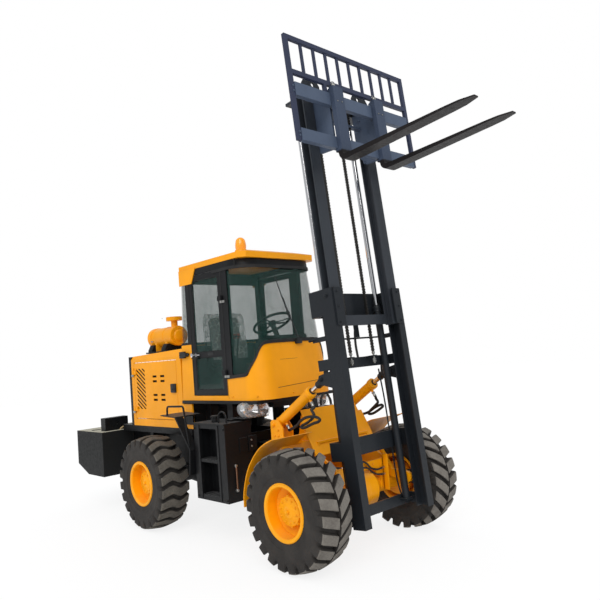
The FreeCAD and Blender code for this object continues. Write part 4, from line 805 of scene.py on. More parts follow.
def rounded(corners: Sequence[Point], radius: float, steps: int = 5) -> list[Vector]:
    """Closed outline with its corners rounded.

    Args:
        corners: The outline's corners, in one plane.
        radius: Radius of its corners.
        steps: Points on each corner.

    Returns:
        The rounded outline.
    """
    points = [Vector(corner) for corner in corners]
    made = []
    for index, corner in enumerate(points):
        back = (points[index - 1] - corner)
        ahead = (points[(index + 1) % len(points)] - corner)
        reach = min(radius, back.length / 2.01, ahead.length / 2.01)
        first, last = corner + back.normalized() * reach, corner + ahead.normalized() * reach
        for step in range(steps + 1):
            t = step / steps
            made.append(first * (1 - t) ** 2 + corner * 2 * t * (1 - t) + last * t ** 2)
    return made


class Machine:
    """Places on the machine: the front axle lies at Y 0, axle_up above Z 0."""

    axle_up = 0.46

    def __init__(self) -> None:
        """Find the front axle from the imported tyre."""
        low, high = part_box("left_front_tyre")
        self.axle = (low.y + high.y) / 2
        self.rise = (low.z + high.z) / 2 - self.axle_up

    def at(self, x: float, y: float, z: float) -> Vector:
        """Place in the row frame."""
        return Vector((x, y + self.axle, z + self.rise))


class MastFrame:
    """Places along the leaning mast: across, back from the channels' faces and up from their feet."""

    pivot_back = 0.2
    pivot_up = 0.25

    def __init__(self, joints: list[dict[str, Any]]) -> None:
        """Find the mast's lean and foot from its joints.

        Args:
            joints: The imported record's joints.
        """
        found = {joint["name"]: joint for joint in joints}
        self.up = Vector(found["inner_lift"]["axis"]).normalized()
        self.back = Vector((0.0, self.up.z, -self.up.y))
        self.foot = Vector(found["mast_tilt"]["pos_m"]) - self.back * self.pivot_back - self.up * self.pivot_up
        self.foot.x = 0.0

    def at(self, x: float, back: float, up: float) -> Vector:
        """Place in the row frame."""
        return Vector((x, 0.0, 0.0)) + self.foot + self.back * back + self.up * up


# ------------------------------------------------------------------ wheels
@dataclass
class Assembly:
    """A group of pieces, with the frames that place it."""

    machine: Machine
    mast: MastFrame

    def build(self) -> None:
        """Build and dress the group's pieces."""
        raise NotImplementedError


class Axle(Enum):
    """An axle, with its distance behind the front one."""

    FRONT = 0.0
    REAR = 2.28

    @property
    def word(self) -> str:
        """The axle's name as the CAD bodies spell it."""
        return self.name.lower()


@dataclass
class Tyres(Assembly):
    """Four bar-lugged tyres: bars split along the middle in front, waved bars behind."""

    half_track: float = 0.723
    height: float = 0.46
    lugs: int = 22
    slant: float = 0.84
    wave: float = 0.02
    wave_length: float = 0.2
    columns: tuple[tuple[float, float], ...] = (
        (0.0, 0.0), (0.14, 0.0), (0.26, 0.0), (0.3, 0.84), (0.33, 1.0), (0.5, 1.0), (0.7, 1.0), (0.91, 1.0), (0.94, 0.84))
    wall: tuple[tuple[float, float], ...] = (
        (0.123, 0.2122), (0.137, 0.2128), (0.1425, 0.221), (0.1445, 0.233), (0.149, 0.242), (0.1545, 0.26),
        (0.159, 0.275), (0.1605, 0.281), (0.1635, 0.283), (0.1645, 0.29), (0.1635, 0.297), (0.1648, 0.325),
        (0.1648, 0.352), (0.1658, 0.355), (0.1658, 0.363), (0.1645, 0.367), (0.1635, 0.374))
    crown: tuple[tuple[float, float, float, float], ...] = (
        (0.157, 0.398, 0.1658, 0.4), (0.149, 0.409, 0.165, 0.43), (0.138, 0.417, 0.1605, 0.452),
        (0.122, 0.424, 0.151, 0.463), (0.08, 0.436, 0.09, 0.4745), (0.045, 0.441, 0.045, 0.4805),
        (0.011, 0.443, 0.009, 0.4838))
    groove: float = 0.006

    def rows(self, split: bool) -> list[tuple[float, float, float, float]]:
        """Rows from the outer bead over the tread to the inner bead.

        Args:
            split: True for bars split along the middle.

        Returns:
            Across and radius between the bars, then across and radius on the bars.
        """
        half = [(u, r, u, r) for u, r in self.wall] + list(self.crown)
        middle = self.crown[-1][1]
        if split:
            half.append((self.groove, middle, self.groove, middle))
        return half + [(-a, b, -c, d) for a, b, c, d in reversed(half)]

    def shift(self, across: float, split: bool) -> float:
        """Angle by which the bars have run round the tyre at one place across it."""
        pitch = math.tau / self.lugs
        if not split:
            return self.wave / self.height * math.sin(math.tau * across / self.wave_length)
        return 0.32 * across / self.height if across > 0.0 else pitch / 2 - self.slant * across / self.height

    def tyre(self, side: Side, axle: Axle) -> None:
        """Build one tyre.

        Args:
            side: The side it is on.
            axle: The axle it is on.
        """
        split = axle is Axle.FRONT
        centre = self.machine.at(side.value * self.half_track, axle.value, self.height)
        rows = self.rows(split)
        pitch = math.tau / self.lugs
        grid = []
        for low_u, low_r, high_u, high_r in rows:
            turn = self.shift((low_u + high_u) / 2, split)
            ring = []
            for lug in range(self.lugs):
                for place, share in self.columns:
                    u, r = low_u + (high_u - low_u) * share, low_r + (high_r - low_r) * share
                    angle = (lug + place) * pitch + turn
                    ring.append(centre + Vector((side.value * u, -r * math.cos(angle), r * math.sin(angle))))
            grid.append(ring)
        form = Form()
        made = form.grid(grid, around=True)
        # Faces on the bars' tops take material 1, the light grey tread finish: a painted highlight of the lit lug tops.
        high = set()
        for ring, row in zip(made, rows):
            if row[3] - row[1] > 0.03:
                high.update(vert for index, vert in enumerate(ring) if self.columns[index % len(self.columns)][1] > 0.5)
        for face in form.mesh.faces:
            if all(vert in high for vert in face.verts):
                face.material_index = 1
        name = f"{side.word}_{axle.word}_tyre"
        top = Finishes.TREAD if split else Finishes.WORN
        piece = form.finish(f"{name}_lugs", (Finishes.CASING, top), f"{side.word}_{axle.word}_wheel", "tyre", 34.0)
        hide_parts(name)

    def build(self) -> None:
        """Build the four tyres."""
        for side in Side:
            for axle in Axle:
                self.tyre(side, axle)


@dataclass
class Hubs(Assembly):
    """Hub covers, wheel bolts and valves of the four wheels."""

    half_track: float = 0.723
    height: float = 0.46
    cover: tuple[tuple[float, float], ...] = (
        (0.0, 0.126), (0.052, 0.125), (0.058, 0.121), (0.078, 0.12), (0.086, 0.117), (0.09, 0.11), (0.09, 0.064),
        (0.094, 0.058), (0.098, 0.05), (0.099, 0.02), (0.099, 0.0))
    bolts: int = 10
    bolt_circle: float = 0.094
    nuts: int = 10
    nut_circle: float = 0.158
    lip: float = 0.2285

    def wheel(self, side: Side, axle: Axle) -> None:
        """Build one wheel's fittings.

        Args:
            side: The side it is on.
            axle: The axle it is on.
        """
        out = Vector((side.value, 0.0, 0.0))
        centre = self.machine.at(side.value * self.half_track, axle.value, self.height)
        around = [Vector((0.0, math.cos(math.tau * step / 60), math.sin(math.tau * step / 60))) for step in range(60)]
        form = Form()
        form.turn(self.cover, centre, out, 48)
        form.tube([centre + out * 0.147 + way * self.lip for way in around], 0.006, 8, closed=True)
        for index in range(self.bolts):
            angle = math.tau * (index + 0.3) / self.bolts
            way = Vector((0.0, math.cos(angle), math.sin(angle)))
            form.bolt(centre + out * 0.09 + way * self.bolt_circle, out, 0.0085)
            form.turn([(0.0, 0.019), (0.076, 0.019), (0.082, 0.015), (0.083, 0.0)],
                      centre + way * 0.112, out, 12)
        form.bolt(centre + out * 0.0985, out, 0.017)
        name = f"{side.word}_{axle.word}"
        form.finish(f"{name}_hub_cover", Finishes.RIM, f"{name}_wheel", "yellow_paint")
        form = Form()
        way = Vector((0.0, -0.6, 0.8)).normalized()
        stem = [centre + out * along + way * up for along, up in ((0.03, 0.198), (0.07, 0.196), (0.105, 0.188))]
        form.tube(stem, lambda share: 0.0045 if share < 0.6 else 0.0055, 8)
        form.finish(f"{name}_valve", Finishes.STEEL, f"{name}_wheel", "steel")

    def build(self) -> None:
        """Build the four wheels' fittings."""
        for side in Side:
            for axle in Axle:
                self.wheel(side, axle)


# ------------------------------------------------------------------ mast
@dataclass
class Chains(Assembly):
    """Two leaf chains: from the outer mast over the inner mast's wheels to the carriage."""

    across: float = 0.15
    pitch: float = 0.0262
    plate: float = 0.0034
    wheel_back: float = 0.101
    wheel_up: float = 3.69
    reach: float = 0.064
    anchor_up: float = 1.385
    carriage_up: float = 3.49
    travel: float = 1.6

    def links(self, form: Form, path: Sequence[Vector]) -> None:
        """Add pins and alternating plates along a path.

        Args:
            form: The mesh they are added to.
            path: The pins' places.
        """
        across = Vector((1.0, 0.0, 0.0))
        for index, (start, end) in enumerate(zip(path, path[1:])):
            along = (end - start).normalized()
            deep = along.cross(across)
            outline = []
            for centre, first in ((start, 90), (end, -90)):
                for step in range(4):
                    angle = math.radians(first + 60 * step)
                    outline.append(centre + (along * math.cos(angle) + deep * math.sin(angle)) * 0.0135)
                outline.append((start + end) / 2 + deep * (-0.0065 if first == 90 else 0.0065))
            for offset in ((-0.0096, -0.0032, 0.0032, 0.0096) if index % 2 else (-0.0064, 0.0, 0.0064)):
                form.prism([point + across * (offset - self.plate / 2) for point in outline], across * self.plate)
            form.turn([(-0.0135, 0.0), (-0.0135, 0.004), (0.0135, 0.004), (0.0135, 0.0)], start, across, 6)

    def straight(self, x: float, back: float, low: float, high: float) -> list[Vector]:
        """Pin places on a straight run up the mast."""
        count = max(1, round((high - low) / self.pitch))
        return [self.mast.at(x, back, low + (high - low) * step / count) for step in range(count + 1)]

    def chain(self, side: Side) -> None:
        """Build one chain with its wheel and anchor."""
        x = side.value * self.across
        form = Form()
        self.links(form, self.straight(x, self.wheel_back + self.reach, self.anchor_up, self.wheel_up))
        back_run = form.finish(f"{side.word}_chain_back_run", Finishes.CHAIN, "mast", "steel")
        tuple(self.mast.up)
        self.mast.at(x, self.wheel_back, self.anchor_up)
        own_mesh(back_run)
        form = Form()
        self.links(form, self.straight(x, self.wheel_back - self.reach, self.carriage_up, self.wheel_up))
        form.turn([(0.0, 0.0), (0.0, 0.014), (0.02, 0.014), (0.024, 0.008), (0.05, 0.008), (0.05, 0.0)],
                  self.mast.at(x, self.wheel_back - self.reach, self.carriage_up - 0.045), self.mast.up, 12)
        form.finish(f"{side.word}_chain_front_run", Finishes.CHAIN, "carriage", "steel")
        form = Form()
        centre = self.mast.at(x, self.wheel_back, self.wheel_up)
        arc = [centre + (self.mast.back * math.cos(math.pi * step / 9) + self.mast.up * math.sin(math.pi * step / 9))
               * self.reach for step in range(10)]
        self.links(form, arc)
        form.turn([(-0.017, 0.0), (-0.017, 0.071), (-0.0135, 0.073), (-0.0135, 0.0565), (0.0135, 0.0565), (0.0135, 0.073),
                   (0.017, 0.071), (0.017, 0.0)], centre, Vector((1.0, 0.0, 0.0)), 36)
        form.bolt(centre + Vector((0.018, 0.0, 0.0)), Vector((1.0, 0.0, 0.0)), 0.014)
        form.finish(f"{side.word}_chain_wheel", Finishes.CHAIN, "inner_mast", "steel")
        form = Form()
        foot = self.mast.at(x, self.wheel_back + self.reach, self.anchor_up - 0.095)
        form.turn([(0.0, 0.0), (0.0, 0.009), (0.09, 0.009), (0.09, 0.015), (0.104, 0.015), (0.104, 0.0)], foot, self.mast.up, 12)
        for up in (0.012, 0.03):
            form.turn([(up, 0.009), (up, 0.0165), (up + 0.014, 0.0165), (up + 0.014, 0.009)], foot, self.mast.up, 6)
        form.finish(f"{side.word}_chain_anchor", Finishes.STEEL, "mast", "steel")

    def build(self) -> None:
        """Build both chains."""
        for side in Side:
            self.chain(side)


@dataclass
class MastFittings(Assembly):
    """Bolts, pins, glands and pipes of the mast and carriage."""

    half: float = 0.456
    lift_x: float = 0.345
    lift_back: float = 0.205
    gland_up: float = 1.76
    fork_x: float = 0.27
    fork_face: float = -0.246

    def side(self, side: Side) -> None:
        """Build one side's fittings."""
        out = Vector((side.value, 0.0, 0.0))
        at, up, back = self.mast.at, self.mast.up, self.mast.back
        x = side.value
        form = Form()
        for place, size in ((at(x * (self.half + 0.0065), 0.2, 0.25), 0.026), (at(x * self.half, 0.065, 1.88), 0.016),
                            (at(x * (self.half + 0.04), 0.285, 1.535), 0.011), (at(x * self.half, 0.265, 1.205), 0.014)):
            form.bolt(place, out, size)
        for low in (0.02, 0.53, 1.272, 1.72):
            form.weld(at(x * 0.378, 0.244, low), at(x * 0.378, 0.244, low + 0.09), 0.004)
        for high in (1.645, 1.775, 1.905):
            form.bolt(at(x * 0.4, -0.012, high), back * -1.0, 0.009)
        form.finish(f"{side.word}_mast_bolts", Finishes.CHARCOAL, "mast", "mast_paint")
        form = Form()
        foot = at(x * self.lift_x, self.lift_back, self.gland_up)
        form.turn([(0.0, 0.034), (0.0, 0.0385), (0.008, 0.0395), (0.012, 0.0375), (0.018, 0.0375), (0.022, 0.0395),
                   (0.046, 0.0395), (0.052, 0.036), (0.054, 0.024)], foot, up, 28)
        form.turn([(0.054, 0.0225), (0.054, 0.028), (0.06, 0.027), (0.063, 0.0235)], foot, up, 28)
        pipe = bent([at(x * 0.345, 0.24, 0.1), at(x * 0.345, 0.262, 0.13), at(x * 0.33, 0.268, 0.3), at(x * 0.33, 0.268, 0.9),
                     at(x * 0.31, 0.268, 1.24)], 6)
        form.tube(pipe, 0.007, 8)
        form.turn([(0.0, 0.0), (0.0, 0.013), (0.028, 0.013), (0.028, 0.0)], at(x * 0.345, 0.225, 0.1), back, 6)
        form.finish(f"{side.word}_lift_gland", Finishes.CHARCOAL, "mast", "mast_paint")
        form = Form()
        for offset in (-0.026, 0.026):
            form.bolt(at(x * self.fork_x + offset, self.fork_face, 3.505), back * -1.0, 0.0065, washer=False)
        pin = at(x * self.fork_x, -0.2, 3.655)
        form.turn([(0.0, 0.0), (0.0, 0.012), (0.03, 0.012), (0.034, 0.008), (0.034, 0.0)], pin, up, 12)
        form.tube([pin + up * 0.03 + out * (0.022 * math.cos(a)) + up * (0.022 * math.sin(a))
                   for a in [math.tau * step / 16 for step in range(16)]], 0.0032, 6, closed=True)
        form.finish(f"{side.word}_fork_pin", Finishes.STEEL, "carriage", "steel")
        form = Form()
        for high in (3.15, 3.56):
            form.bolt(at(x * 0.288, 0.03, high), out * -1.0, 0.012)
        for edge, high in ((0.752, 3.13), (0.752, 3.16), (0.752, 3.51), (0.752, 3.555)):
            form.bolt(at(x * edge, -0.192, high), back * -1.0, 0.008)
        form.finish(f"{side.word}_carriage_bolts", Finishes.SHANK, "carriage", "mast_paint")

    def build(self) -> None:
        """Build both sides' fittings and the guides' hoses."""
        for side in Side:
            self.side(side)
        form = Form()
        at = self.mast.at
        hose = bent([at(0.065, 0.262, 1.62), at(0.066, 0.275, 1.57), at(0.067, 0.285, 1.47), at(0.067, 0.28, 1.36)], 6)
        form.tube(hose, 0.011, 10)
        form.turn([(0.0, 0.0), (0.0, 0.015), (0.03, 0.015), (0.03, 0.0)], hose[-1], at(0.0, 0.0, -1.0) - at(0.0, 0.0, 0.0), 6)
        form.finish("mast_hose", Finishes.HOSE, "mast", "plastic")


@dataclass
class TiltCylinders(Assembly):
    """Glands, ports, eyes and hoses of the two tilt cylinders."""

    x: float = 0.41
    base: tuple[float, float] = (0.51, 1.08)
    eye: tuple[float, float] = (0.265, 1.205)
    radius: float = 0.045
    length: float = 0.545
    ports: tuple[float, float] = (0.095, 0.485)
    hose_radius: float = 0.0125
    loop_gap: float = 0.03
    hose: tuple[tuple[float, float], ...] = (
        (0.045, 1.219), (0.028, 1.19), (0.023, 1.16), (0.09, 1.112), (0.16, 1.082), (0.17, 1.066), (0.122, 1.066),
        (0.018, 1.102), (-0.059, 1.123), (-0.076, 1.142), (-0.045, 1.158), (0.021, 1.163), (0.109, 1.15), (0.182, 1.118),
        (0.227, 1.085), (0.262, 1.07))
    left_hose: tuple[tuple[float, float], ...] = (
        (0.05, 1.219), (0.03, 1.185), (0.07, 1.15), (0.15, 1.096), (0.172, 1.07), (0.12, 1.075), (0.04, 1.115), (0.0, 1.142),
        (0.02, 1.156), (0.09, 1.132), (0.17, 1.088), (0.23, 1.07), (0.262, 1.066))

    def cylinder(self, side: Side) -> None:
        """Build one cylinder's fittings.

        Args:
            side: The side it is on.
        """
        x = side.value * self.x
        base = self.machine.at(x, *self.base)
        end = self.mast.at(x, *self.eye)
        along = (end - base).normalized()
        down = Vector((0.0, along.z, -along.y))
        down = down if down.z < 0.0 else down * -1.0
        form = Form()
        near = self.length
        form.turn([(near - 0.042, self.radius), (near - 0.04, 0.0515), (near - 0.03, 0.0525), (near - 0.027, 0.049),
                   (near - 0.022, 0.049), (near - 0.019, 0.0525), (near - 0.002, 0.0525), (near + 0.004, 0.048),
                   (near + 0.006, 0.03)], base, along, 32)
        form.tube([base + along * 0.036 + (across_of(along) * math.cos(a) + along.cross(across_of(along)) * math.sin(a))
                   * self.radius for a in [math.tau * step / 28 for step in range(28)]], 0.005, 6, closed=True)
        form.finish(f"{side.word}_tilt_gland", Finishes.YELLOW, f"{side.word}_tilt_barrel", "yellow_paint")
        form = Form()
        form.turn([(near + 0.005, 0.0225), (near + 0.005, 0.031), (near + 0.012, 0.03), (near + 0.015, 0.0232)], base, along, 24)
        form.finish(f"{side.word}_tilt_wiper", Finishes.SEAL, f"{side.word}_tilt_barrel", "plastic")
        form = Form()
        mouths = []
        for place in self.ports:
            foot = base + along * place + down * (self.radius + 0.022)
            form.turn([(0.0, 0.0), (0.0, 0.0165), (0.014, 0.0165), (0.014, 0.0)], foot, down, 6)
            form.turn([(0.014, 0.0115), (0.026, 0.0115), (0.026, 0.0145), (0.04, 0.0145), (0.04, 0.0)], foot, down, 12)
            mouths.append(foot + down * 0.036)
        form.finish(f"{side.word}_tilt_unions", Finishes.STEEL, f"{side.word}_tilt_barrel", "steel")
        form = Form()
        out = side.value * (self.x + 0.02)
        route = self.hose if side is Side.RIGHT else self.left_hose
        aside = [self.loop_gap * math.sin(math.pi * max(0, index - 2) / (len(route) - 3)) for index in range(len(route))]
        knots = [mouths[1], mouths[1] + down * 0.02,
                 *[self.machine.at(out + side.value * gap, y, z) for gap, (y, z) in zip(aside, route)],
                 mouths[0] + down * 0.015, mouths[0]]
        form.tube(bent(knots, 5), self.hose_radius, 10)
        form.finish(f"{side.word}_tilt_hose", Finishes.HOSE, f"{side.word}_tilt_barrel", "plastic")
        form = Form()
        reach = (end - base).length
        form.turn([(reach - 0.1, 0.0225), (reach - 0.1, 0.029), (reach - 0.09, 0.033), (reach - 0.06, 0.033),
                   (reach - 0.052, 0.036), (reach - 0.03, 0.036), (reach - 0.022, 0.03)], base, along, 24)
        for offset in (-0.0255, 0.0215):
            form.turn([(0.0, 0.0215), (0.0, 0.041), (0.004, 0.041), (0.004, 0.0215), (0.0, 0.0215)],
                      end + Vector((offset, 0.0, 0.0)), Vector((1.0, 0.0, 0.0)), 28)
        form.finish(f"{side.word}_tilt_clevis", Finishes.MOULDED, f"{side.word}_tilt_rod", "frame_paint")

    def build(self) -> None:
        """Build both cylinders' fittings."""
        for side in Side:
            self.cylinder(side)


# ------------------------------------------------------------------ front frame
@dataclass
class FrontFittings(Assembly):
    """Hoses, valve, bolts and edges on the front frame."""

    fender: tuple[tuple[float, float], ...] = (
        (0.515, 0.438), (0.505, 0.56), (0.448, 0.72), (0.365, 0.842), (0.24, 0.955), (0.09, 1.022))
    fender_edge: float = 0.857
    arch: tuple[tuple[float, float], ...] = ((-0.074, 1.19), (-0.066, 1.25), (-0.044, 1.296), (-0.008, 1.314),
                                             (0.03, 1.3), (0.05, 1.26), (0.056, 1.19))
    runs: tuple[tuple[tuple[float, float], ...], ...] = (
        ((-0.06, 0.722), (-0.018, 0.717), (0.032, 0.69), (0.093, 0.644), (0.172, 0.617), (0.235, 0.622)),
        ((-0.06, 0.668), (-0.02, 0.667), (0.04, 0.65), (0.102, 0.608), (0.166, 0.576), (0.235, 0.566)))

    def build(self) -> None:
        """Build the front frame's fittings."""
        at = self.machine.at
        form = Form()
        form.tube(bent([at(x, 0.292 if 0 < index < 6 else 0.282, z) for index, (x, z) in enumerate(self.arch)], 6), 0.0105, 12)
        for run in self.runs:
            form.tube(bent([at(x, -0.118 - 0.012 * math.sin(index * 1.3), z) for index, (x, z) in enumerate(run)], 6), 0.0085, 10)
        form.finish("front_hoses", Finishes.HOSE, "front_frame", "plastic")
        form = Form()
        for run in self.runs:
            x, z = run[-1]
            form.turn([(0.0, 0.0), (0.0, 0.012), (0.02, 0.012), (0.02, 0.0095), (0.04, 0.0095), (0.04, 0.0)],
                      at(x - 0.012, -0.116, z), Vector((1.0, 0.0, 0.0)), 8)
        for x in (self.arch[0][0], self.arch[-1][0]):
            form.turn([(0.0, 0.0), (0.0, 0.015), (0.022, 0.015), (0.022, 0.0)], at(x, 0.282, 1.188), Vector((0.0, 0.0, 1.0)), 6)
        form.finish("front_unions", Finishes.STEEL, "front_frame", "steel")
        form = Form()
        form.block(at(-0.19, 0.285, 1.2), at(-0.115, 0.345, 1.262), 0.006)
        form.block(at(-0.172, 0.27, 1.262), at(-0.13, 0.33, 1.284), 0.004)
        form.turn([(0.0, 0.0), (0.0, 0.013), (0.026, 0.013), (0.03, 0.008), (0.03, 0.0)], at(-0.152, 0.3, 1.282),
                  Vector((0.0, 0.0, 1.0)), 12)
        form.tube(bent([at(-0.118, 0.31, 1.23), at(-0.1, 0.312, 1.222), at(-0.09, 0.315, 1.2), at(-0.09, 0.32, 1.15)], 6), 0.008, 8)
        form.finish("front_valve", Finishes.MOULDED, "front_frame", "frame_paint")
        form = Form()
        form.prism([at(0.27, -0.094, 0.42), at(0.27, -0.094, 0.74), at(0.296, -0.094, 0.74), at(0.296, -0.094, 0.42)],
                   Vector((0.0, -0.012, 0.0)), 0.003)
        form.prism([at(0.27, -0.094, 0.42), at(0.27, -0.094, 0.74), at(0.279, -0.094, 0.74), at(0.279, -0.094, 0.42)],
                   Vector((0.0, -0.06, 0.0)), 0.003)
        for z in (0.46, 0.56, 0.66, 0.72):
            form.bolt(at(0.288, -0.106, z), Vector((0.0, -1.0, 0.0)), 0.008)
        for x in (-0.14, -0.05, 0.05, 0.14):
            form.bolt(at(x, -0.0905, 0.665), Vector((0.0, -1.0, 0.0)), 0.009)
        for angle in range(0, 360, 36):
            way = Vector((0.0, math.cos(math.radians(angle)), math.sin(math.radians(angle)))) * 0.15
            for x in (-0.066, 0.066):
                form.bolt(at(x, 0.0, 0.46) + way, Vector((x, 0.0, 0.0)), 0.008)
        for side in Side:
            for y, z in ((0.45, 0.985), (0.5, 0.985), (0.45, 1.035)):
                form.bolt(at(side.value * 0.473, y, z), Vector((side.value, 0.0, 0.0)), 0.009)
            form.bolt(at(side.value * 0.473, 0.51, 1.08), Vector((side.value, 0.0, 0.0)), 0.018)
            edge = bent([at(side.value * self.fender_edge, y + 0.003, z + 0.002) for y, z in self.fender], 6)
            form.tube(edge, 0.0052, 8)
            inner = side.value * 0.397
            form.weld(at(inner, 0.075, 0.83), at(inner, 0.19, 1.03), 0.003)
        form.finish("front_bolts", Finishes.YELLOW, "front_frame", "yellow_paint")


@dataclass
class Headlights(Assembly):
    """Two headlights: clear-fronted housings with twin reflectors, in place of the plain ones."""

    inner: float = 0.236
    outer: float = 0.574
    front: float = 0.797
    back: float = 0.944
    low: float = 1.128
    high: float = 1.284

    def outline(self, side: Side, grow: float, y: float) -> list[Vector]:
        """Rounded lamp outline, drawn in by an amount, at one station."""
        low, high = self.low + grow, self.high - grow
        corners = [(self.inner + grow, low + 0.03), (self.inner + 0.03 + grow, low), (self.outer - 0.06, low),
                   (self.outer - grow, low + 0.05), (self.outer - grow, high - 0.02), (self.outer - 0.05, high),
                   (self.inner + 0.02 + grow, high - 0.012)]
        return rounded([self.machine.at(side.value * x, y, z) for x, z in corners], 0.035, 5)

    def lamp(self, side: Side) -> None:
        """Build one headlight.

        Args:
            side: The side it is on.
        """
        at = self.machine.at
        ahead = Vector((0.0, -1.0, 0.0))
        name = f"{side.word}_headlight"
        form = Form()
        form.grid([self.outline(side, 0.03, self.back), self.outline(side, 0.012, self.back - 0.02),
                   self.outline(side, 0.002, self.front + 0.1), self.outline(side, 0.0, self.front + 0.082),
                   self.outline(side, 0.004, self.front + 0.078), self.outline(side, 0.008, self.front + 0.082)], around=True)
        housing = form.finish(f"{name}_housing", Finishes.HOUSING, "rear_frame", "plastic", merge=True)
        form = Form()
        for x, radius in ((0.325, 0.06), (0.462, 0.064)):
            centre = at(side.value * x, self.front + 0.07, (self.low + self.high) / 2)
            form.turn([(-0.01, 0.0), (0.0, radius * 0.45), (0.02, radius * 0.8), (0.045, radius), (0.05, radius * 1.08)],
                      centre, ahead, 28)
            form.turn([(0.0, 0.008), (0.03, 0.008), (0.038, 0.0)], centre, ahead, 10)
        form.grid([self.outline(side, 0.01, self.front + 0.08), self.outline(side, 0.016, self.front + 0.04),
                   self.outline(side, 0.03, self.front + 0.034), self.outline(side, 0.05, self.front + 0.06)], around=True)
        form.finish(f"{name}_reflectors", Finishes.CHROME, "rear_frame", "chrome")
        form = Form()
        rings = [self.outline(side, 0.003, self.front + 0.078), self.outline(side, 0.003, self.front + 0.03),
                 self.outline(side, 0.009, self.front + 0.012), self.outline(side, 0.022, self.front + 0.003),
                 self.outline(side, 0.036, self.front), self.outline(side, 0.055, self.front)]
        made = form.grid(rings, around=True)
        form.face(made[-1])
        form.finish(f"{name}_lens", Finishes.LENS, "rear_frame", "glass")
        form = Form()
        near, far = sorted((side.value * self.inner, side.value * self.outer))
        form.block(at(near + 0.02, 0.836, 1.1303), at(far - 0.01, self.back + 0.12, 1.137), 0.002)
        form.block(at(min(side.value * 0.47, side.value * 0.59), 0.985, 1.112), at(max(side.value * 0.47, side.value * 0.59), 1.07, 1.13), 0.002)
        for x in (0.36, 0.5):
            form.bolt(at(side.value * x, 1.0, 1.137), Vector((0.0, 0.0, 1.0)), 0.009)
        form.tube(bent([at(side.value * 0.42, self.back - 0.01, 1.2), at(side.value * 0.42, self.back + 0.05, 1.2),
                        at(side.value * 0.4, self.back + 0.09, 1.16), at(side.value * 0.37, self.back + 0.11, 1.1),
                        at(side.value * 0.36, self.back + 0.11, 1.0)], 6), 0.007, 8)
        form.finish(f"{name}_bracket", Finishes.BLACK, "rear_frame", "frame_paint")
        if side is Side.RIGHT:
            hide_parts("headlights")

    def build(self) -> None:
        """Build both headlights."""
        for side in Side:
            self.lamp(side)


@dataclass
class Tanks(Assembly):
    """Sight gauge, bolts, cap and treads of the side tanks."""

    outer: float = 0.75
    front: float = 0.885

    def build(self) -> None:
        """Build both tanks' fittings."""
        at = self.machine.at
        for side in Side:
            s = side.value
            form = Form()
            ahead, out = Vector((0.0, -1.0, 0.0)), Vector((float(s), 0.0, 0.0))
            for z in (0.87, 0.927):
                form.bolt(at(s * 0.455, self.front - 0.014, z), ahead, 0.008)
            for z in (0.498, 0.72):
                form.turn([(0.0, 0.0), (0.0, 0.017), (0.014, 0.017), (0.02, 0.012), (0.02, 0.0)], at(s * 0.652, self.front, z), ahead, 6)
            form.finish(f"{side.word}_tank_bolts", Finishes.STEEL, "rear_frame", "steel")
            form = Form()
            form.tube([at(s * 0.652, self.front - 0.012, z) for z in (0.51, 0.56, 0.61, 0.66, 0.71)], 0.008, 10)
            form.finish(f"{side.word}_sight_gauge", Finishes.GAUGE, "rear_frame", "glass")
            form = Form()
            for z in (0.414 + 0.026, 0.771):
                for y in (1.03, 1.085, 1.14, 1.195, 1.25, 1.28):
                    form.tube([at(s * x, y, z + 0.001) for x in (0.63, 0.65, 0.72, 0.745)], 0.004, 6, flat=0.8)
            for y, z in ((0.905, 0.42), (0.905, 1.06), (1.372, 0.42), (1.372, 1.06)):
                form.bolt(at(s * self.outer, y, z), out, 0.009)
            cap = at(s * 0.66, 1.145, 1.151)
            form.turn([(0.0, 0.03), (0.0, 0.043), (0.006, 0.045), (0.018, 0.045), (0.024, 0.04), (0.026, 0.0)], cap,
                      Vector((0.0, 0.0, 1.0)), 24)
            for angle in range(0, 360, 30):
                way = Vector((math.cos(math.radians(angle)), math.sin(math.radians(angle)), 0.0))
                form.turn([(0.003, 0.0), (0.003, 0.004), (0.02, 0.004), (0.02, 0.0)], cap + way * 0.045, Vector((0.0, 0.0, 1.0)), 6)
            low, high = sorted((s * 0.39, s * 0.488))
            form.block(at(low, 0.871, 0.829), at(high, 0.8855, 0.966), 0.002)
            form.weld(at(s * 0.745, self.front + 0.002, 0.41), at(s * 0.745, self.front + 0.002, 1.09), 0.003)
            form.finish(f"{side.word}_tank_treads", Finishes.BLACK, "rear_frame", "frame_paint")


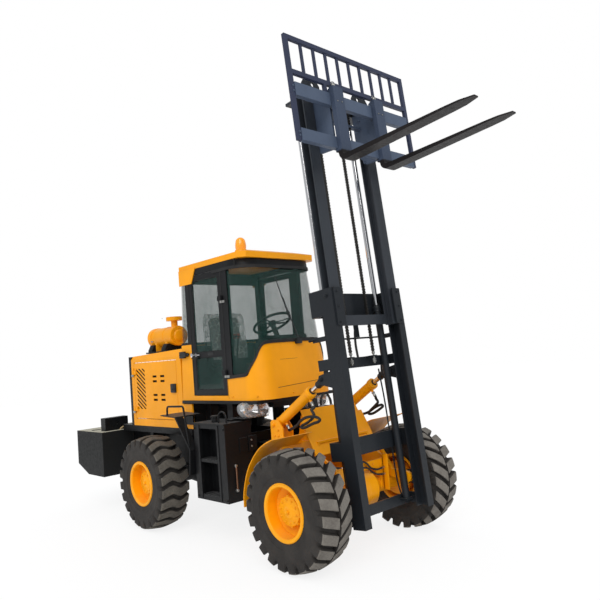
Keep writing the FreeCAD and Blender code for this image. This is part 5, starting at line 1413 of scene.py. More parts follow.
# ------------------------------------------------------------------ cab
@dataclass
class Cab(Assembly):
    """Seals, handles, wiper and seams of the cab."""

    half: float = 0.5
    corner: float = 0.21
    front: float = 0.615
    lean: float = 0.1352
    sill: float = 1.297
    belt: tuple[tuple[float, float], ...] = (
        (0.885, 1.508), (0.73, 1.518), (0.6, 1.527), (0.563, 1.55), (0.515, 1.61), (0.455, 1.69), (0.415, 1.76),
        (0.38, 1.803), (0.335, 1.82), (0.2, 1.826), (0.0, 1.826))
    groove: tuple[tuple[float, float], ...] = (
        (0.96, 1.414), (0.8, 1.418), (0.6, 1.425), (0.45, 1.43), (0.25, 1.425), (0.0, 1.412), (-0.28, 1.398))
    panes: tuple[tuple[float, float], ...] = ((1.406, 1.735), (1.79, 2.539))
    pane_ends: tuple[float, float] = (1.191, 1.654)

    def skin(self, reach: float, z: float, out: float = 0.0) -> Vector:
        """Place on the cab's front wall, which wraps round into its sides.

        Args:
            reach: Distance round the wall from its middle, positive towards the left.
            z: Height.
            out: How far outside the wall.

        Returns:
            The place.
        """
        way, reach = (1.0, reach) if reach >= 0.0 else (-1.0, -reach)
        flat = self.half - self.corner
        turn = min(max((reach - flat) / self.corner, 0.0), math.pi / 2)
        rest = max(0.0, reach - flat - self.corner * math.pi / 2)
        radius = self.corner + out
        x = min(reach, flat) + radius * math.sin(turn)
        y = self.front + self.lean * (z - self.sill) + self.corner - radius * math.cos(turn) + rest
        return self.machine.at(way * x, y, z)

    def band(self, form: Form, line: Sequence[tuple[float, float]], rise: float, out: float = 0.009) -> None:
        """Add a flat band along a line on the front wall.

        Args:
            form: The mesh it is added to.
            line: Its lower edge, as distance round the wall and height.
            rise: Its width, upwards.
            out: How far it stands off.
        """
        path = bent([(reach, 0.0, z) for reach, z in line], 5)
        rows = []
        for point in path:
            rows.append([self.skin(point.x, point.z + up, away) for up, away in (
                (-0.003, -0.001), (-0.002, out), (rise * 0.3, out + 0.0015), (rise * 0.7, out + 0.0015), (rise, out),
                (rise + 0.001, -0.001))])
        form.grid(rows)

    def seals(self) -> None:
        """Build the windscreen's and the panes' seals."""
        form = Form()
        mirrored = [(-reach, z) for reach, z in reversed(self.belt[:-1])]
        self.band(form, [*self.belt, *mirrored], 0.03)
        self.band(form, [(0.88, 2.572), (0.6, 2.572), (0.3, 2.572), (0.0, 2.572), (-0.3, 2.572), (-0.6, 2.572), (-0.88, 2.572)], 0.028)
        for side in Side:
            for low, high in self.panes:
                front, rear = self.pane_ends
                loop = rounded([self.machine.at(side.value * 0.4905, y, z) for y, z in
                                ((front, low), (rear, low), (rear, high), (front, high))], 0.03)
                form.tube(loop, 0.0062, 8, closed=True)
            wall = side.value * 0.5
            form.tube([self.machine.at(wall, y, z) for y, z in ((1.1305, 1.35), (1.1305, 1.8), (1.1305, 2.58))], 0.0048, 6)
            form.tube([self.machine.at(wall, y, z) for y, z in ((1.7145, 1.35), (1.7145, 1.8), (1.7145, 2.58))], 0.0048, 6)
        form.finish("cab_seals", Finishes.SEAL, "rear_frame", "frame_paint", smooth=60.0)

    def seams(self) -> None:
        """Build the cowl's groove and panel seams."""
        form = Form()
        path = bent([(reach, 0.0, z) for reach, z in self.groove], 6)
        form.tube([self.skin(point.x, point.z, 0.0004) for point in path], 0.0022, 6)
        form.tube([self.skin(reach, 1.66, 0.0002) for reach in (0.02, -0.05, -0.12, -0.2)], 0.0013, 5)
        for side in Side:
            form.tube([self.machine.at(side.value * 0.5002, y, z) for y, z in ((1.118, 1.31), (1.118, 1.4), (1.118, 1.5))], 0.0018, 5)
        form.finish("cowl_seams", Finishes.SEAL, "rear_frame", "frame_paint")
        form = Form()
        for reach in (0.84, 0.5, 0.1, -0.1, -0.5, -0.84):
            form.bolt(self.skin(reach, 1.335, 0.0), self.skin(reach, 1.335, 0.1) - self.skin(reach, 1.335, 0.0), 0.008)
        form.finish("cowl_bolts", Finishes.YELLOW, "rear_frame", "yellow_paint")

    def handles(self, side: Side) -> None:
        """Build one door's knob, catch and hinges' caps."""
        out = Vector((side.value, 0.0, 0.0))
        at = self.machine.at
        door = f"{side.word}_cab_door"
        form = Form()
        form.turn([(0.0, 0.0), (0.0, 0.024), (0.004, 0.025), (0.006, 0.012), (0.03, 0.01), (0.036, 0.021), (0.047, 0.024),
                   (0.056, 0.021), (0.059, 0.0)], at(side.value * 0.495, 1.655, 1.767), out, 20)
        form.tube(bent([at(side.value * 0.508, 1.64, 1.767), at(side.value * 0.512, 1.6, 1.766), at(side.value * 0.51, 1.56, 1.765)], 4), 0.006, 8)
        form.finish(f"{side.word}_door_knob", Finishes.CHROME, door, "chrome")
        form = Form()
        low, high = sorted((side.value * 0.494, side.value * 0.503))
        form.block(at(low, 1.33, 1.752), at(high, 1.43, 1.782), 0.002)
        form.prism([at(side.value * 0.494, y, z) for y, z in ((1.655, 1.74), (1.7, 1.745), (1.7, 1.79), (1.655, 1.795))],
                   out * 0.008, 0.002)
        form.finish(f"{side.word}_door_plate", Finishes.MOULDED, door, "frame_paint")
        form = Form()
        low, high = sorted((side.value * 0.5, side.value * 0.528))
        form.block(at(low, 1.835, 1.745), at(high, 1.93, 1.815), 0.005)
        low, high = sorted((side.value * 0.5, side.value * 0.54))
        form.block(at(low, 1.785, 1.758), at(high, 1.84, 1.8), 0.004)
        form.turn([(0.0, 0.0), (0.0, 0.012), (0.03, 0.012), (0.034, 0.008), (0.034, 0.0)], at(side.value * 0.52, 1.786, 1.779),
                  Vector((0.0, -1.0, 0.0)), 12)
        for y in (1.85, 1.915):
            form.bolt(at(side.value * 0.528, y, 1.78), out, 0.006)
        form.finish(f"{side.word}_door_catch", Finishes.MOULDED, "rear_frame", "frame_paint")

    def wiper(self) -> None:
        """Build the windscreen wiper."""
        form = Form()
        foot = self.skin(0.062, 1.836, 0.012)
        form.turn([(-0.02, 0.0), (-0.02, 0.022), (0.012, 0.022), (0.02, 0.015), (0.022, 0.0)], foot, self.skin(0.062, 1.836, 0.1) - foot, 16)
        form.block(self.skin(0.026, 1.8, 0.03), self.skin(0.1, 1.846, -0.004), 0.006)
        arm = [self.skin(0.062 - 0.11 * share, 1.84 + 0.42 * share, 0.028 - 0.008 * share) for share in (0.0, 0.3, 0.6, 1.0)]
        form.tube(bent(arm, 4), lambda share: 0.007 - 0.0035 * share, 8)
        blade = [self.skin(-0.048 - 0.11 * (share - 0.5), 2.26 + 0.46 * (share - 0.5), 0.009) for share in (0.0, 0.25, 0.5, 0.75, 1.0)]
        form.tube(blade, 0.0048, 6)
        form.tube([arm[-1], blade[2]], 0.006, 8)
        form.finish("wiper", Finishes.MOULDED, "rear_frame", "frame_paint")

    def roof(self) -> None:
        """Build the roof's seam and its bolts."""
        form = Form()
        at = self.machine.at
        form.block(at(-0.4985, 0.888, 2.592), at(-0.4925, 0.896, 2.668), 0.001)
        form.finish("roof_seam", Finishes.SEAL, "rear_frame", "frame_paint")
        form = Form()
        for x in (-0.42, -0.14, 0.14, 0.42):
            for y in (0.86, 1.82):
                form.bolt(at(x, y, 2.655 + 0.03 * (1.0 - abs(x) / 0.5)), Vector((0.0, 0.0, 1.0)), 0.008)
        form.finish("roof_bolts", Finishes.YELLOW, "rear_frame", "yellow_paint")

    def lining(self) -> None:
        """Build dark vinyl sheets inside the cowl and the rear walls, which paint the shade inside the cab."""
        # Dark sheets just inside the walls, standing in for the shade inside the cab: painted shade.
        form = Form()
        path = bent([(reach, 0.0, z) for reach, z in [*self.belt, *[(-reach, z) for reach, z in reversed(self.belt[:-1])]]], 4)
        form.grid([[self.skin(point.x, 1.31 + (point.z - 1.335) * share, -0.034 - 0.004 * math.sin(share * 3.1))
                    for share in (0.0, 0.1, 0.3, 0.5, 0.7, 0.9, 1.0)] for point in path])
        at = self.machine.at
        outline = [at(-0.455, y, z) for y, z in ((1.915, 1.31), (1.9, 1.31), (1.862, 1.86), (1.876, 1.87))]
        form.prism(outline, Vector((0.91, 0.0, 0.0)), 0.004)
        for side in Side:
            low, high = sorted((side.value * 0.458, side.value * 0.467))
            form.block(at(low, 1.74, 1.31), at(high, 1.87, 1.86), 0.003)
        for z in (1.42, 1.53, 1.64, 1.75):
            form.tube([at(x, 1.897 - (z - 1.31) * 0.069, z) for x in (-0.44, -0.2, 0.2, 0.44)], 0.004, 6)
        form.finish("cab_lining", Finishes.VINYL, "rear_frame", "plastic")

    def controls(self) -> None:
        """Build the wheel's hub and the levers' knobs."""
        at = self.machine.at
        form = Form()
        lean = Vector((0.0, 0.447, 0.894))
        centre = at(0.0, 0.976, 2.03)
        form.turn([(-0.03, 0.0), (-0.03, 0.03), (-0.01, 0.042), (0.01, 0.044), (0.016, 0.036), (0.02, 0.0)], centre, lean, 24)
        across = Vector((1.0, 0.0, 0.0))
        other = lean.cross(across)
        for angle in (90, 210, 330):
            way = across * math.cos(math.radians(angle)) + other * math.sin(math.radians(angle))
            form.tube([centre + way * 0.035, centre + way * 0.11 - lean * 0.003, centre + way * 0.19], lambda share: 0.012 - 0.003 * share,
                      8, flat=0.5)
        form.turn([(0.0, 0.0), (0.0, 0.01), (0.03, 0.012), (0.05, 0.021), (0.066, 0.016), (0.07, 0.0)],
                  centre + (across * 0.8 - other * 0.6) * 0.193, lean, 16)
        form.finish("steering_wheel_hub", Finishes.MOULDED, "rear_frame", "plastic")
        form = Form()
        for y in (1.13, 1.195, 1.26):
            form.turn([(-0.004, 0.0), (-0.002, 0.011), (0.012, 0.015), (0.026, 0.021), (0.038, 0.021), (0.048, 0.013), (0.051, 0.0)],
                      at(-0.36, y - 0.04, 1.9), Vector((0.0, -0.1, 1.0)), 16)
        form.finish("lever_knobs", Finishes.KNOB, "rear_frame", "plastic")

    def build(self) -> None:
        """Build the cab's fittings."""
        self.seals()
        self.seams()
        for side in Side:
            self.handles(side)
        self.wiper()
        self.roof()
        self.lining()
        self.controls()


@dataclass
class Beacon(Assembly):
    """Flashing beacon on the roof, in place of the plain one."""

    place: tuple[float, float] = (-0.395, 0.9)
    low: float = 2.7
    top: float = 2.877

    def build(self) -> None:
        """Build the beacon."""
        foot = self.machine.at(*self.place, self.low)
        up = Vector((0.0, 0.0, 1.0))
        form = Form()
        form.turn([(0.0, 0.0), (0.0, 0.0615), (0.03, 0.0615), (0.046, 0.0605), (0.052, 0.057), (0.054, 0.048), (0.054, 0.0)], foot, up, 32)
        form.turn([(0.034, 0.0), (0.034, 0.03), (0.05, 0.03), (0.052, 0.0)], foot, up, 16)
        form.turn([(0.05, 0.0), (0.054, 0.012), (0.1, 0.012), (0.112, 0.006), (0.115, 0.0)], foot, up, 12)
        base = form.finish("beacon_base", Finishes.YELLOW, "rear_frame", "yellow_paint")
        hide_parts("beacon")
        height = self.top - self.low
        profile = [(0.053, 0.047)]
        for step in range(17):
            share = step / 16
            rib = 0.0012 * (step % 2)
            profile.append((0.055 + share * (height - 0.103), 0.0485 + 0.0045 * math.sin(math.pi * share) + rib))
        for step in range(1, 9):
            angle = math.pi / 2 * step / 8
            profile.append((height - 0.048 + 0.048 * math.sin(angle), 0.0485 * math.cos(angle)))
        form = Form()
        form.turn(profile, foot, up, 40)
        form.finish("beacon_lens", Finishes.AMBER, "rear_frame", "amber", smooth=60.0)


@dataclass
class AirCleaner(Assembly):
    """Clamps, lid and cap of the air cleaner."""

    x: float = -0.25
    z: float = 2.015
    radius: float = 0.112
    front: float = 2.345
    rear: float = 2.855

    def build(self) -> None:
        """Build its fittings."""
        back = Vector((0.0, 1.0, 0.0))
        up = Vector((0.0, 0.0, 1.0))
        foot = self.machine.at(self.x, self.front, self.z)
        length = self.rear - self.front
        form = Form()
        for along in (0.012, length * 0.36, length - 0.085):
            form.turn([(along, self.radius - 0.001), (along + 0.002, self.radius + 0.004), (along + 0.016, self.radius + 0.004),
                       (along + 0.018, self.radius - 0.001)], foot, back, 40)
        form.turn([(length, 0.0), (length, 0.03), (length + 0.008, 0.028), (length + 0.012, 0.0)], foot, back, 20)
        form.turn([(-0.014, 0.0), (-0.014, 0.05), (-0.008, 0.062), (-0.004, 0.066), (0.0, 0.07)], foot, back, 28)
        for angle in range(0, 360, 45):
            way = Vector((math.cos(math.radians(angle)), 0.0, math.sin(math.radians(angle))))
            form.bolt(foot + way * 0.09, back * -1.0, 0.006)
        cap = self.machine.at(self.x, 2.6, 2.193)
        cradle = Form()
        for y in (2.42, 2.72):
            outline = [self.machine.at(self.x + x, y, z) for x, z in (
                (-0.15, 1.84), (0.15, 1.84), (0.15, 1.87), (0.118, 1.93), (0.09, 1.93), (0.0, 1.896), (-0.09, 1.93), (-0.118, 1.93),
                (-0.15, 1.87))]
            cradle.prism(outline, Vector((0.0, 0.09, 0.0)), 0.004)
        cradle.block(self.machine.at(self.x - 0.165, 2.38, 1.832), self.machine.at(self.x + 0.165, 2.84, 1.85), 0.003)
        cradle.finish("air_cleaner_cradle", Finishes.BLACK, "rear_frame", "frame_paint")
        form.finish("air_cleaner_bands", Finishes.YELLOW, "rear_frame", "yellow_paint")
        form = Form()
        for angle in (20, 200):
            way = Vector((math.cos(math.radians(angle)), 0.0, math.sin(math.radians(angle))))
            place = foot + back * (length - 0.076) + way * (self.radius + 0.004)
            form.tube([place - back * 0.03, place + way * 0.008, place + back * 0.03], 0.004, 6)
            form.turn([(-0.008, 0.0), (-0.008, 0.006), (0.008, 0.006), (0.008, 0.0)], place, way.cross(back), 10)
        for angle in range(0, 360, 60):
            way = Vector((math.cos(math.radians(angle)), math.sin(math.radians(angle)), 0.0))
            form.turn([(0.0, 0.0), (0.0, 0.004), (0.004, 0.004), (0.006, 0.0)], cap + up * 0.043 + way * 0.06, up, 8)
        form.finish("air_cleaner_clips", Finishes.STEEL, "rear_frame", "steel")


@dataclass
class Seat(Assembly):
    """Driver's seat: bellows base, two stuffed cushions and the wrapping film left on them."""

    voxel: float = 0.009
    pressure: float = 4.0
    swell: float = 0.011
    frames: int = 9
    quality: int = 2
    channels: tuple[float, ...] = (-0.12, 0.12)
    channel_depth: float = 0.007

    def slab(self, centre: Vector, along: Vector, half: Point, taper: float = 0.0) -> Form:
        """Rounded slab to stuff.

        Args:
            centre: Its middle.
            along: Its long direction.
            half: Half its width, length and thickness.
            taper: How much narrower it is at its far end.

        Returns:
            Its form.
        """
        across = Vector((1.0, 0.0, 0.0))
        along = along.normalized()
        thick = across.cross(along)
        form = Form()
        rows = []
        for level in (-1.0, -0.92, -0.7, -0.3, 0.3, 0.7, 0.92, 1.0):
            inset = 0.03 * (1.0 - math.sqrt(max(0.0, 1.0 - level ** 4)))
            corners = [(1, 1), (-1, 1), (-1, -1), (1, -1)]
            outline = [centre + thick * half[2] * level + along * v * (half[1] - inset)
                       + across * u * (half[0] - inset - taper * (v + 1) / 2) for u, v in corners]
            rows.append(rounded(outline, 0.055, 6))
        made = form.grid(rows, around=True)
        form.face(reversed(made[0]))
        form.face(made[-1])
        return form

    def evaluated(self, piece: bpy.types.Object) -> bpy.types.Mesh:
        """Mesh of a piece with its modifiers applied."""
        graph = bpy.context.evaluated_depsgraph_get()
        return bpy.data.meshes.new_from_object(piece.evaluated_get(graph))

    def stuff(self, form: Form) -> None:
        """Swell a form like a stuffed cover, by a cloth simulation of it, and sew its channels.

        Args:
            form: The form, which is changed.
        """
        scene = bpy.context.scene
        data = bpy.data.meshes.new("cover")
        form.mesh.to_mesh(data)
        cover = bpy.data.objects.new("cover", data)
        scene.collection.objects.link(cover)
        remesh = cover.modifiers.new("remesh", "REMESH")
        remesh.mode = "VOXEL"
        remesh.voxel_size = self.voxel
        base = self.evaluated(cover)
        cover.modifiers.clear()
        cover.data = base
        cloth = cover.modifiers.new("cloth", "CLOTH")
        cloth.settings.quality = self.quality
        cloth.settings.use_pressure = True
        cloth.settings.uniform_pressure_force = self.pressure
        cloth.settings.effector_weights.gravity = 0.0
        cloth.point_cache.frame_end = self.frames
        for frame in range(1, self.frames + 1):
            scene.frame_set(frame)
        swollen = self.evaluated(cover)
        for vertex, moved in zip(base.vertices, swollen.vertices):
            shift = moved.co - vertex.co
            vertex.co += shift * min(1.0, self.swell / max(shift.length, 1e-6))
        cover.modifiers.clear()
        scene.frame_set(1)
        smooth = cover.modifiers.new("finer", "SUBSURF")
        smooth.levels = 1
        finer = self.evaluated(cover)
        for vertex in finer.vertices:
            near = min(abs(vertex.co.x - place) for place in self.channels)
            sunk = self.channel_depth * math.exp(-(near / 0.006) ** 2)
            vertex.co -= vertex.normal * (sunk - 0.0012 * noise.noise(vertex.co * 16.0))
        form.mesh.free()
        form.mesh = bmesh.new()
        form.mesh.from_mesh(finer)
        bpy.data.objects.remove(cover)

    def build(self) -> None:
        """Build the seat."""
        at = self.machine.at
        form = Form()
        rows = []
        for step in range(17):
            z = 1.33 + 0.185 * step / 16
            grow = 0.188 if step % 2 else 0.172
            rows.append(rounded([at(u * grow, 1.515 + v * (grow - 0.005), z) for u, v in ((1, 1), (-1, 1), (-1, -1), (1, -1))], 0.05, 4))
        form.grid(rows, around=True)
        form.block(at(-0.19, 1.33, 1.297), at(0.19, 1.7, 1.33), 0.006)
        form.block(at(-0.215, 1.3, 1.513), at(0.215, 1.73, 1.53), 0.005)
        form.prism([at(-0.235, y, z) for y, z in ((1.62, 1.53), (1.76, 1.53), (1.83, 1.62), (1.865, 1.9), (1.84, 1.9), (1.79, 1.65))],
                   Vector((0.012, 0.0, 0.0)), 0.003)
        form.prism([at(0.223, y, z) for y, z in ((1.62, 1.53), (1.76, 1.53), (1.83, 1.62), (1.865, 1.9), (1.84, 1.9), (1.79, 1.65))],
                   Vector((0.012, 0.0, 0.0)), 0.003)
        base = form.finish("seat_base", Finishes.MOULDED, "rear_frame", "plastic")
        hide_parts("driver_seat")
        cushion = self.slab(at(0.0, 1.51, 1.583), Vector((0.0, 1.0, 0.0)), (0.238, 0.226, 0.043))
        back = self.slab(at(0.0, 1.785, 1.895), Vector((0.0, 0.075, 0.58)), (0.222, 0.272, 0.036), 0.03)
        for name, padded in (("seat_cushion", cushion), ("seat_back", back)):
            self.stuff(padded)
            piece = padded.finish(name, Finishes.VINYL, "rear_frame", "seat", smooth=80.0)
        self.film()

    def film(self) -> None:
        """Build the film draped over the back cushion."""
        line = bent([(0.0, y, z) for y, z in ((1.722, 1.7), (1.728, 1.82), (1.745, 2.0), (1.758, 2.12), (1.785, 2.188), (1.83, 2.192),
                                              (1.862, 2.14), (1.858, 2.0), (1.846, 1.86))], 8)
        rows = []
        for index, point in enumerate(line):
            row = []
            for step in range(49):
                x = -0.238 + 0.476 * step / 48
                crumple = noise.noise(Vector((x * 9.0, point.z * 9.0, point.y * 9.0))) + 0.5 * noise.noise(
                    Vector((x * 24.0, point.z * 24.0, point.y * 20.0)))
                ahead = line[min(index + 1, len(line) - 1)] - line[max(index - 1, 0)]
                out = Vector((0.0, -ahead.z, ahead.y)).normalized()
                row.append(self.machine.at(x, point.y, point.z) + out * (0.01 + 0.008 * crumple))
            rows.append(row)
        form = Form()
        form.grid(rows)
        piece = form.finish("seat_film", Finishes.FILM, "rear_frame", "plastic", smooth=180.0)


# ------------------------------------------------------------------ rear
@dataclass
class EngineDoors(Assembly):
    """Latches, hinges and edges of the engine bay's doors, with a black sheet behind their louvres that paints the
    bay's shade.
    """

    front: float = 2.05
    rear: float = 3.0
    low: float = 1.08
    high: float = 1.74
    latch: tuple[float, float] = (2.115, 1.43)

    def build(self) -> None:
        """Build both doors' fittings."""
        at = self.machine.at
        for side in Side:
            s = side.value
            out = Vector((float(s), 0.0, 0.0))
            form = Form()
            y, z = self.latch
            outline = rounded([at(s * 0.501, y + u * 0.048, z + v * 0.048) for u, v in ((1, 1), (-1, 1), (-1, -1), (1, -1))], 0.012, 4)
            form.prism(outline, out * 0.0175, 0.003)
            outline = rounded([at(s * 0.5185, y + u * 0.03, z + v * 0.033) for u, v in ((1, 1), (-1, 1), (-1, -1), (1, -1))], 0.008, 4)
            form.prism(outline, out * 0.004, 0.002)
            form.turn([(0.0, 0.0), (0.0, 0.01), (0.005, 0.01), (0.007, 0.0)], at(s * 0.5225, y, z - 0.012), out, 14)
            form.finish(f"{side.word}_engine_door_latch", Finishes.MOULDED, f"{side.word}_engine_door", "frame_paint")
            # A black sheet just inside each door's louvres, standing in for the shade inside the engine bay: painted
            # shade.
            form = Form()
            low, high = sorted((s * 0.472, s * 0.4785))
            form.block(at(low, 2.26, 1.12), at(high, 2.975, 1.715), 0.002)
            for z in (1.2, 1.32, 1.44, 1.56, 1.68):
                form.tube([at(s * 0.4705, y, z) for y in (2.27, 2.5, 2.74, 2.965)], 0.005, 6)
            form.finish(f"{side.word}_bay_lining", Finishes.SEAL, f"{side.word}_engine_door", "frame_paint")
            form = Form()
            for z in (self.low + 0.1, self.high - 0.1):
                form.turn([(-0.035, 0.0), (-0.035, 0.008), (0.035, 0.008), (0.035, 0.0)], at(s * 0.505, self.rear + 0.004, z),
                          Vector((0.0, 0.0, 1.0)), 12)
            form.weld(at(s * 0.4985, self.front - 0.012, self.low), at(s * 0.4985, self.front - 0.012, self.high), 0.0022)
            form.finish(f"{side.word}_bay_hinges", Finishes.YELLOW, "rear_frame", "yellow_paint")


@dataclass
class Rear(Assembly):
    """Grille mesh, bolts, cable and fittings at the machine's rear."""

    cable: tuple[tuple[float, float, float], ...] = (
        (-0.471, 3.5, 0.925), (-0.45, 3.498, 0.948), (-0.415, 3.495, 0.963), (-0.359, 3.49, 0.978), (-0.32, 3.492, 0.962),
        (-0.295, 3.495, 0.925), (-0.267, 3.5, 0.885))

    def build(self) -> None:
        """Build the rear's fittings."""
        at = self.machine.at
        up, back = Vector((0.0, 0.0, 1.0)), Vector((0.0, 1.0, 0.0))
        form = Form()
        form.tube(bent([at(*point) for point in self.cable], 6), 0.0085, 10)
        for point in (self.cable[0], self.cable[-1]):
            form.turn([(-0.02, 0.0), (-0.02, 0.012), (0.01, 0.012), (0.01, 0.0)], at(*point), up, 10)
        form.finish("rear_cable", Finishes.TIE, "rear_frame", "steel")
        form = Form()
        for side in Side:
            s = side.value
            form.weld(at(s * 0.34, 3.408, 0.42), at(s * 0.34, 3.408, 0.9), 0.005)
            outline = rounded([at(s * 0.63 + u * 0.05, 3.83 + v * 0.035, 0.9295) for u, v in ((1, 1), (-1, 1), (-1, -1), (1, -1))], 0.02, 4)
            form.tube(outline, 0.005, 6, closed=True)
            for y in (2.4, 2.8, 3.2):
                form.bolt(at(s * 0.36, y, 0.9), up, 0.01)
        form.turn([(0.0, 0.0), (0.0, 0.03), (0.02, 0.033), (0.05, 0.033), (0.056, 0.02), (0.056, 0.0)], at(0.0, 4.02, 0.82), up, 20)
        form.tube([at(0.04 * math.cos(a), 4.05, 0.885 + 0.035 * math.sin(a)) for a in [math.tau * k / 20 for k in range(20)]],
                  0.006, 8, closed=True)
        form.finish("rear_bolts", Finishes.GREY, "rear_frame", "frame_paint")
        form = Form()
        low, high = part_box("radiator_grille")
        face = high.y - 0.006
        columns, rows = 17, 24
        for column in range(1, columns):
            x = low.x + 0.06 + (high.x - low.x - 0.12) * column / columns
            form.tube([Vector((x, face, low.z + 0.05)), Vector((x, face + 0.002, (low.z + high.z) / 2)), Vector((x, face, high.z - 0.05))], 0.0022, 5)
        for row in range(1, rows):
            z = low.z + 0.05 + (high.z - low.z - 0.1) * row / rows
            form.tube([Vector((low.x + 0.06, face + 0.003, z)), Vector((0.0, face + 0.003, z)), Vector((high.x - 0.06, face + 0.003, z))], 0.0022, 5)
        form.finish("grille_mesh", Finishes.BLACK, "rear_frame", "frame_paint")


ASSEMBLIES: list[type[Assembly]] = [Tyres, Hubs, Chains, MastFittings, TiltCylinders, FrontFittings, Headlights, Tanks,
                                    Cab, Beacon, AirCleaner, Seat, EngineDoors, Rear]


# ------------------------------------------------------------------ scene
@dataclass
class Studio:
    """Pale floor, soft light and the camera."""

    eye: Point = (-4.0854, -5.0106, 1.7432)
    right: Point = (0.729372, -0.679532, -0.079069)
    up: Point = (0.000524, -0.115023, 0.993363)
    lens: float = 36.81
    plain_level: float = 0.82
    mirror_level: float = 0.5
    sun_level: float = 1.3
    floor_size: float = 60.0

    def seen_white(self, shader: Shader, mirrored: float) -> Wire:
        """Share of the background that rays see: all of it for camera and glass rays, some of it in mirrors."""
        path = shader.node("ShaderNodeLightPath")
        rays = [Wire(shader, path.outputs[name]) for name in
                ("Is Camera Ray", "Is Transmission Ray", "Is Glossy Ray")]
        return rays[0].maths("MAXIMUM", rays[1]).maths("MAXIMUM", rays[2] * mirrored)

    def floor(self) -> None:
        """White floor that keeps the machine's shadow."""
        form = Form()
        half = self.floor_size / 2
        form.grid([[(-half, -half, 0.0), (half, -half, 0.0)], [(-half, half, 0.0), (half, half, 0.0)]])
        shader = Shader("white floor")
        shader.set(Base_Color=(0.95, 0.95, 0.95), Roughness=0.9)
        glow = shader.node("ShaderNodeEmission", sockets={"Color": (1.0, 1.0, 1.0), "Strength": 1.03})
        share = 0.8 * self.seen_white(shader, 0.5)
        mixed = shader.node("ShaderNodeMixShader", sockets={0: share, 1: shader.surface.outputs[0], 2: glow.outputs[0]})
        shader.join(shader.output.inputs["Surface"], mixed.outputs[0])
        data = bpy.data.meshes.new("floor")
        form.mesh.to_mesh(data)
        form.mesh.free()
        data.materials.append(shader.material)
        floor = bpy.data.objects.new("floor", data)
        bpy.context.scene.collection.objects.link(floor)
        floor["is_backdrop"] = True

    def world(self) -> None:
        """White surround, with a plain light level for everything else."""
        world = bpy.data.worlds.new("surround")
        world.use_nodes = True
        bpy.context.scene.world = world
        shader = Shader.__new__(Shader)
        shader.tree = world.node_tree
        shader.tree.nodes.clear()
        path = shader.node("ShaderNodeLightPath")
        plain = shader.node("ShaderNodeBackground", sockets={"Color": (0.96, 0.98, 1.0), "Strength": self.plain_level})
        dim = shader.node("ShaderNodeBackground", sockets={"Color": (0.96, 0.98, 1.0), "Strength": self.mirror_level})
        white = shader.node("ShaderNodeBackground", sockets={"Color": (1.0, 1.0, 1.0), "Strength": 1.0})
        soft = shader.node("ShaderNodeMixShader", sockets={
            0: path.outputs["Is Glossy Ray"], 1: plain.outputs[0], 2: dim.outputs[0]})
        mixed = shader.node("ShaderNodeMixShader", sockets={
            0: self.seen_white(shader, 0.0), 1: soft.outputs[0], 2: white.outputs[0]})
        shader.node("ShaderNodeOutputWorld", sockets={"Surface": mixed.outputs[0]})

    def lamps(self) -> None:
        """One broad soft sun from the front left of the view."""
        lamp = bpy.data.lights.new("soft sun", "SUN")
        lamp.energy = self.sun_level
        lamp.angle = math.radians(40.0)
        lamp.color = (1.0, 0.985, 0.96)
        placed = bpy.data.objects.new("soft sun", lamp)
        towards = Vector((0.56, 0.52, -0.64))
        placed.rotation_mode = "QUATERNION"
        placed.rotation_quaternion = towards.to_track_quat("-Z", "Y")
        bpy.context.scene.collection.objects.link(placed)

    def camera(self) -> None:
        """Camera at a standing person's eye, ahead and to the right of the machine."""
        data = bpy.data.cameras.new("camera")
        data.lens = self.lens
        data.sensor_width = 36.0
        camera = bpy.data.objects.new("camera", data)
        right, up = Vector(self.right).normalized(), Vector(self.up)
        back = right.cross(up).normalized()
        up = back.cross(right)
        camera.matrix_world = Matrix.Translation(Vector(self.eye)) @ Matrix((right, up, back)).transposed().to_4x4()
        bpy.context.scene.collection.objects.link(camera)
        bpy.context.scene.camera = camera

    def build(self) -> None:
        """Set the stage."""
        bpy.context.scene.view_settings.view_transform = "Standard"
        self.camera()
        self.floor()
        self.world()
        self.lamps()


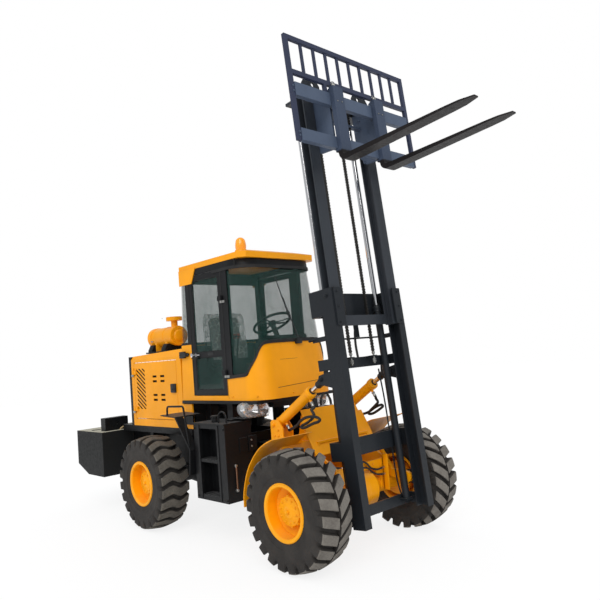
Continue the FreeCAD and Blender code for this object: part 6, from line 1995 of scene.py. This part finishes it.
def dress_frame(nodes: dict[str, bpy.types.Object]) -> None:
    """Give every CAD node its finish.

    Args:
        nodes: The frame's nodes by name.
    """
    dressed: dict[Finish, tuple[str, ...]] = {
        Finishes.YELLOW: ("engine_hood", "engine_door", "air_cleaner", "cab_shell", "cab_roof", "front_chassis",
                          "front_axle", "front_fenders", "tilt_barrel"),
        Finishes.RIM: ("rim",),
        Finishes.CHARCOAL: ("outer_mast", "lift_barrels"),
        Finishes.INNER: ("inner_mast",),
        Finishes.SHANK: ("carriage",),
        Finishes.BACKREST: ("load_backrest",),
        Finishes.BLADE: ("forks",),
        Finishes.GREY: ("counterweight",),
        Finishes.CAB_BLACK: ("cab_frame", "cab_door", "radiator_grille", "cab_base", "steer_barrel"),
        Finishes.BLACK: ("rear_chassis", "lifting_blocks", "rear_axle", "side_tanks", "rear_guards"),
        Finishes.CHROME: ("lift_rods", "tilt_rod", "steer_rod"),
        Finishes.STEEL: ("door_hinges",),
        Finishes.GLASS: ("windscreen", "rear_windows", "cab_door_glass"),
        Finishes.MOULDED: ("steering_console", "control_levers", "driver_seat", "headlights"),
        Finishes.CAST: ("engine_block",),
        Finishes.AMBER: ("beacon",),
        Finishes.CASING: ("tyre",),
    }
    for name, node in nodes.items():
        kind = name
        for side in Side:
            kind = kind.removeprefix(side.word + "_")
        kind = kind.removeprefix("front_").removeprefix("rear_") if kind.endswith(("tyre", "rim")) else kind
        finish = next(finish for finish, kinds in dressed.items() if kind in kinds)
        node.data.materials.clear()
        node.data.materials.append(finish.material())


def corners(box: tuple[Vector, Vector]) -> list[list[float]]:
    """A box's two corners as plain lists."""
    return [list(corner) for corner in box]


def main() -> None:
    """Build the looks, piece by piece."""
    logging.basicConfig(level=logging.INFO, format="%(message)s", stream=sys.stdout)
    random.seed(11)
    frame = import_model()
    cad_box = corners(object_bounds())
    machine = Machine()
    mast = MastFrame(frame["joints"])
    dress_frame(frame["nodes"])
    Studio().build()
    for assembly in ASSEMBLIES:
        assembly(machine, mast).build()
        log.info("built %s", assembly.__name__)
    bpy.context.view_layer.update()
    {"cad": cad_box, "visual": corners(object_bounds())}


if __name__ == "__main__":
    main()
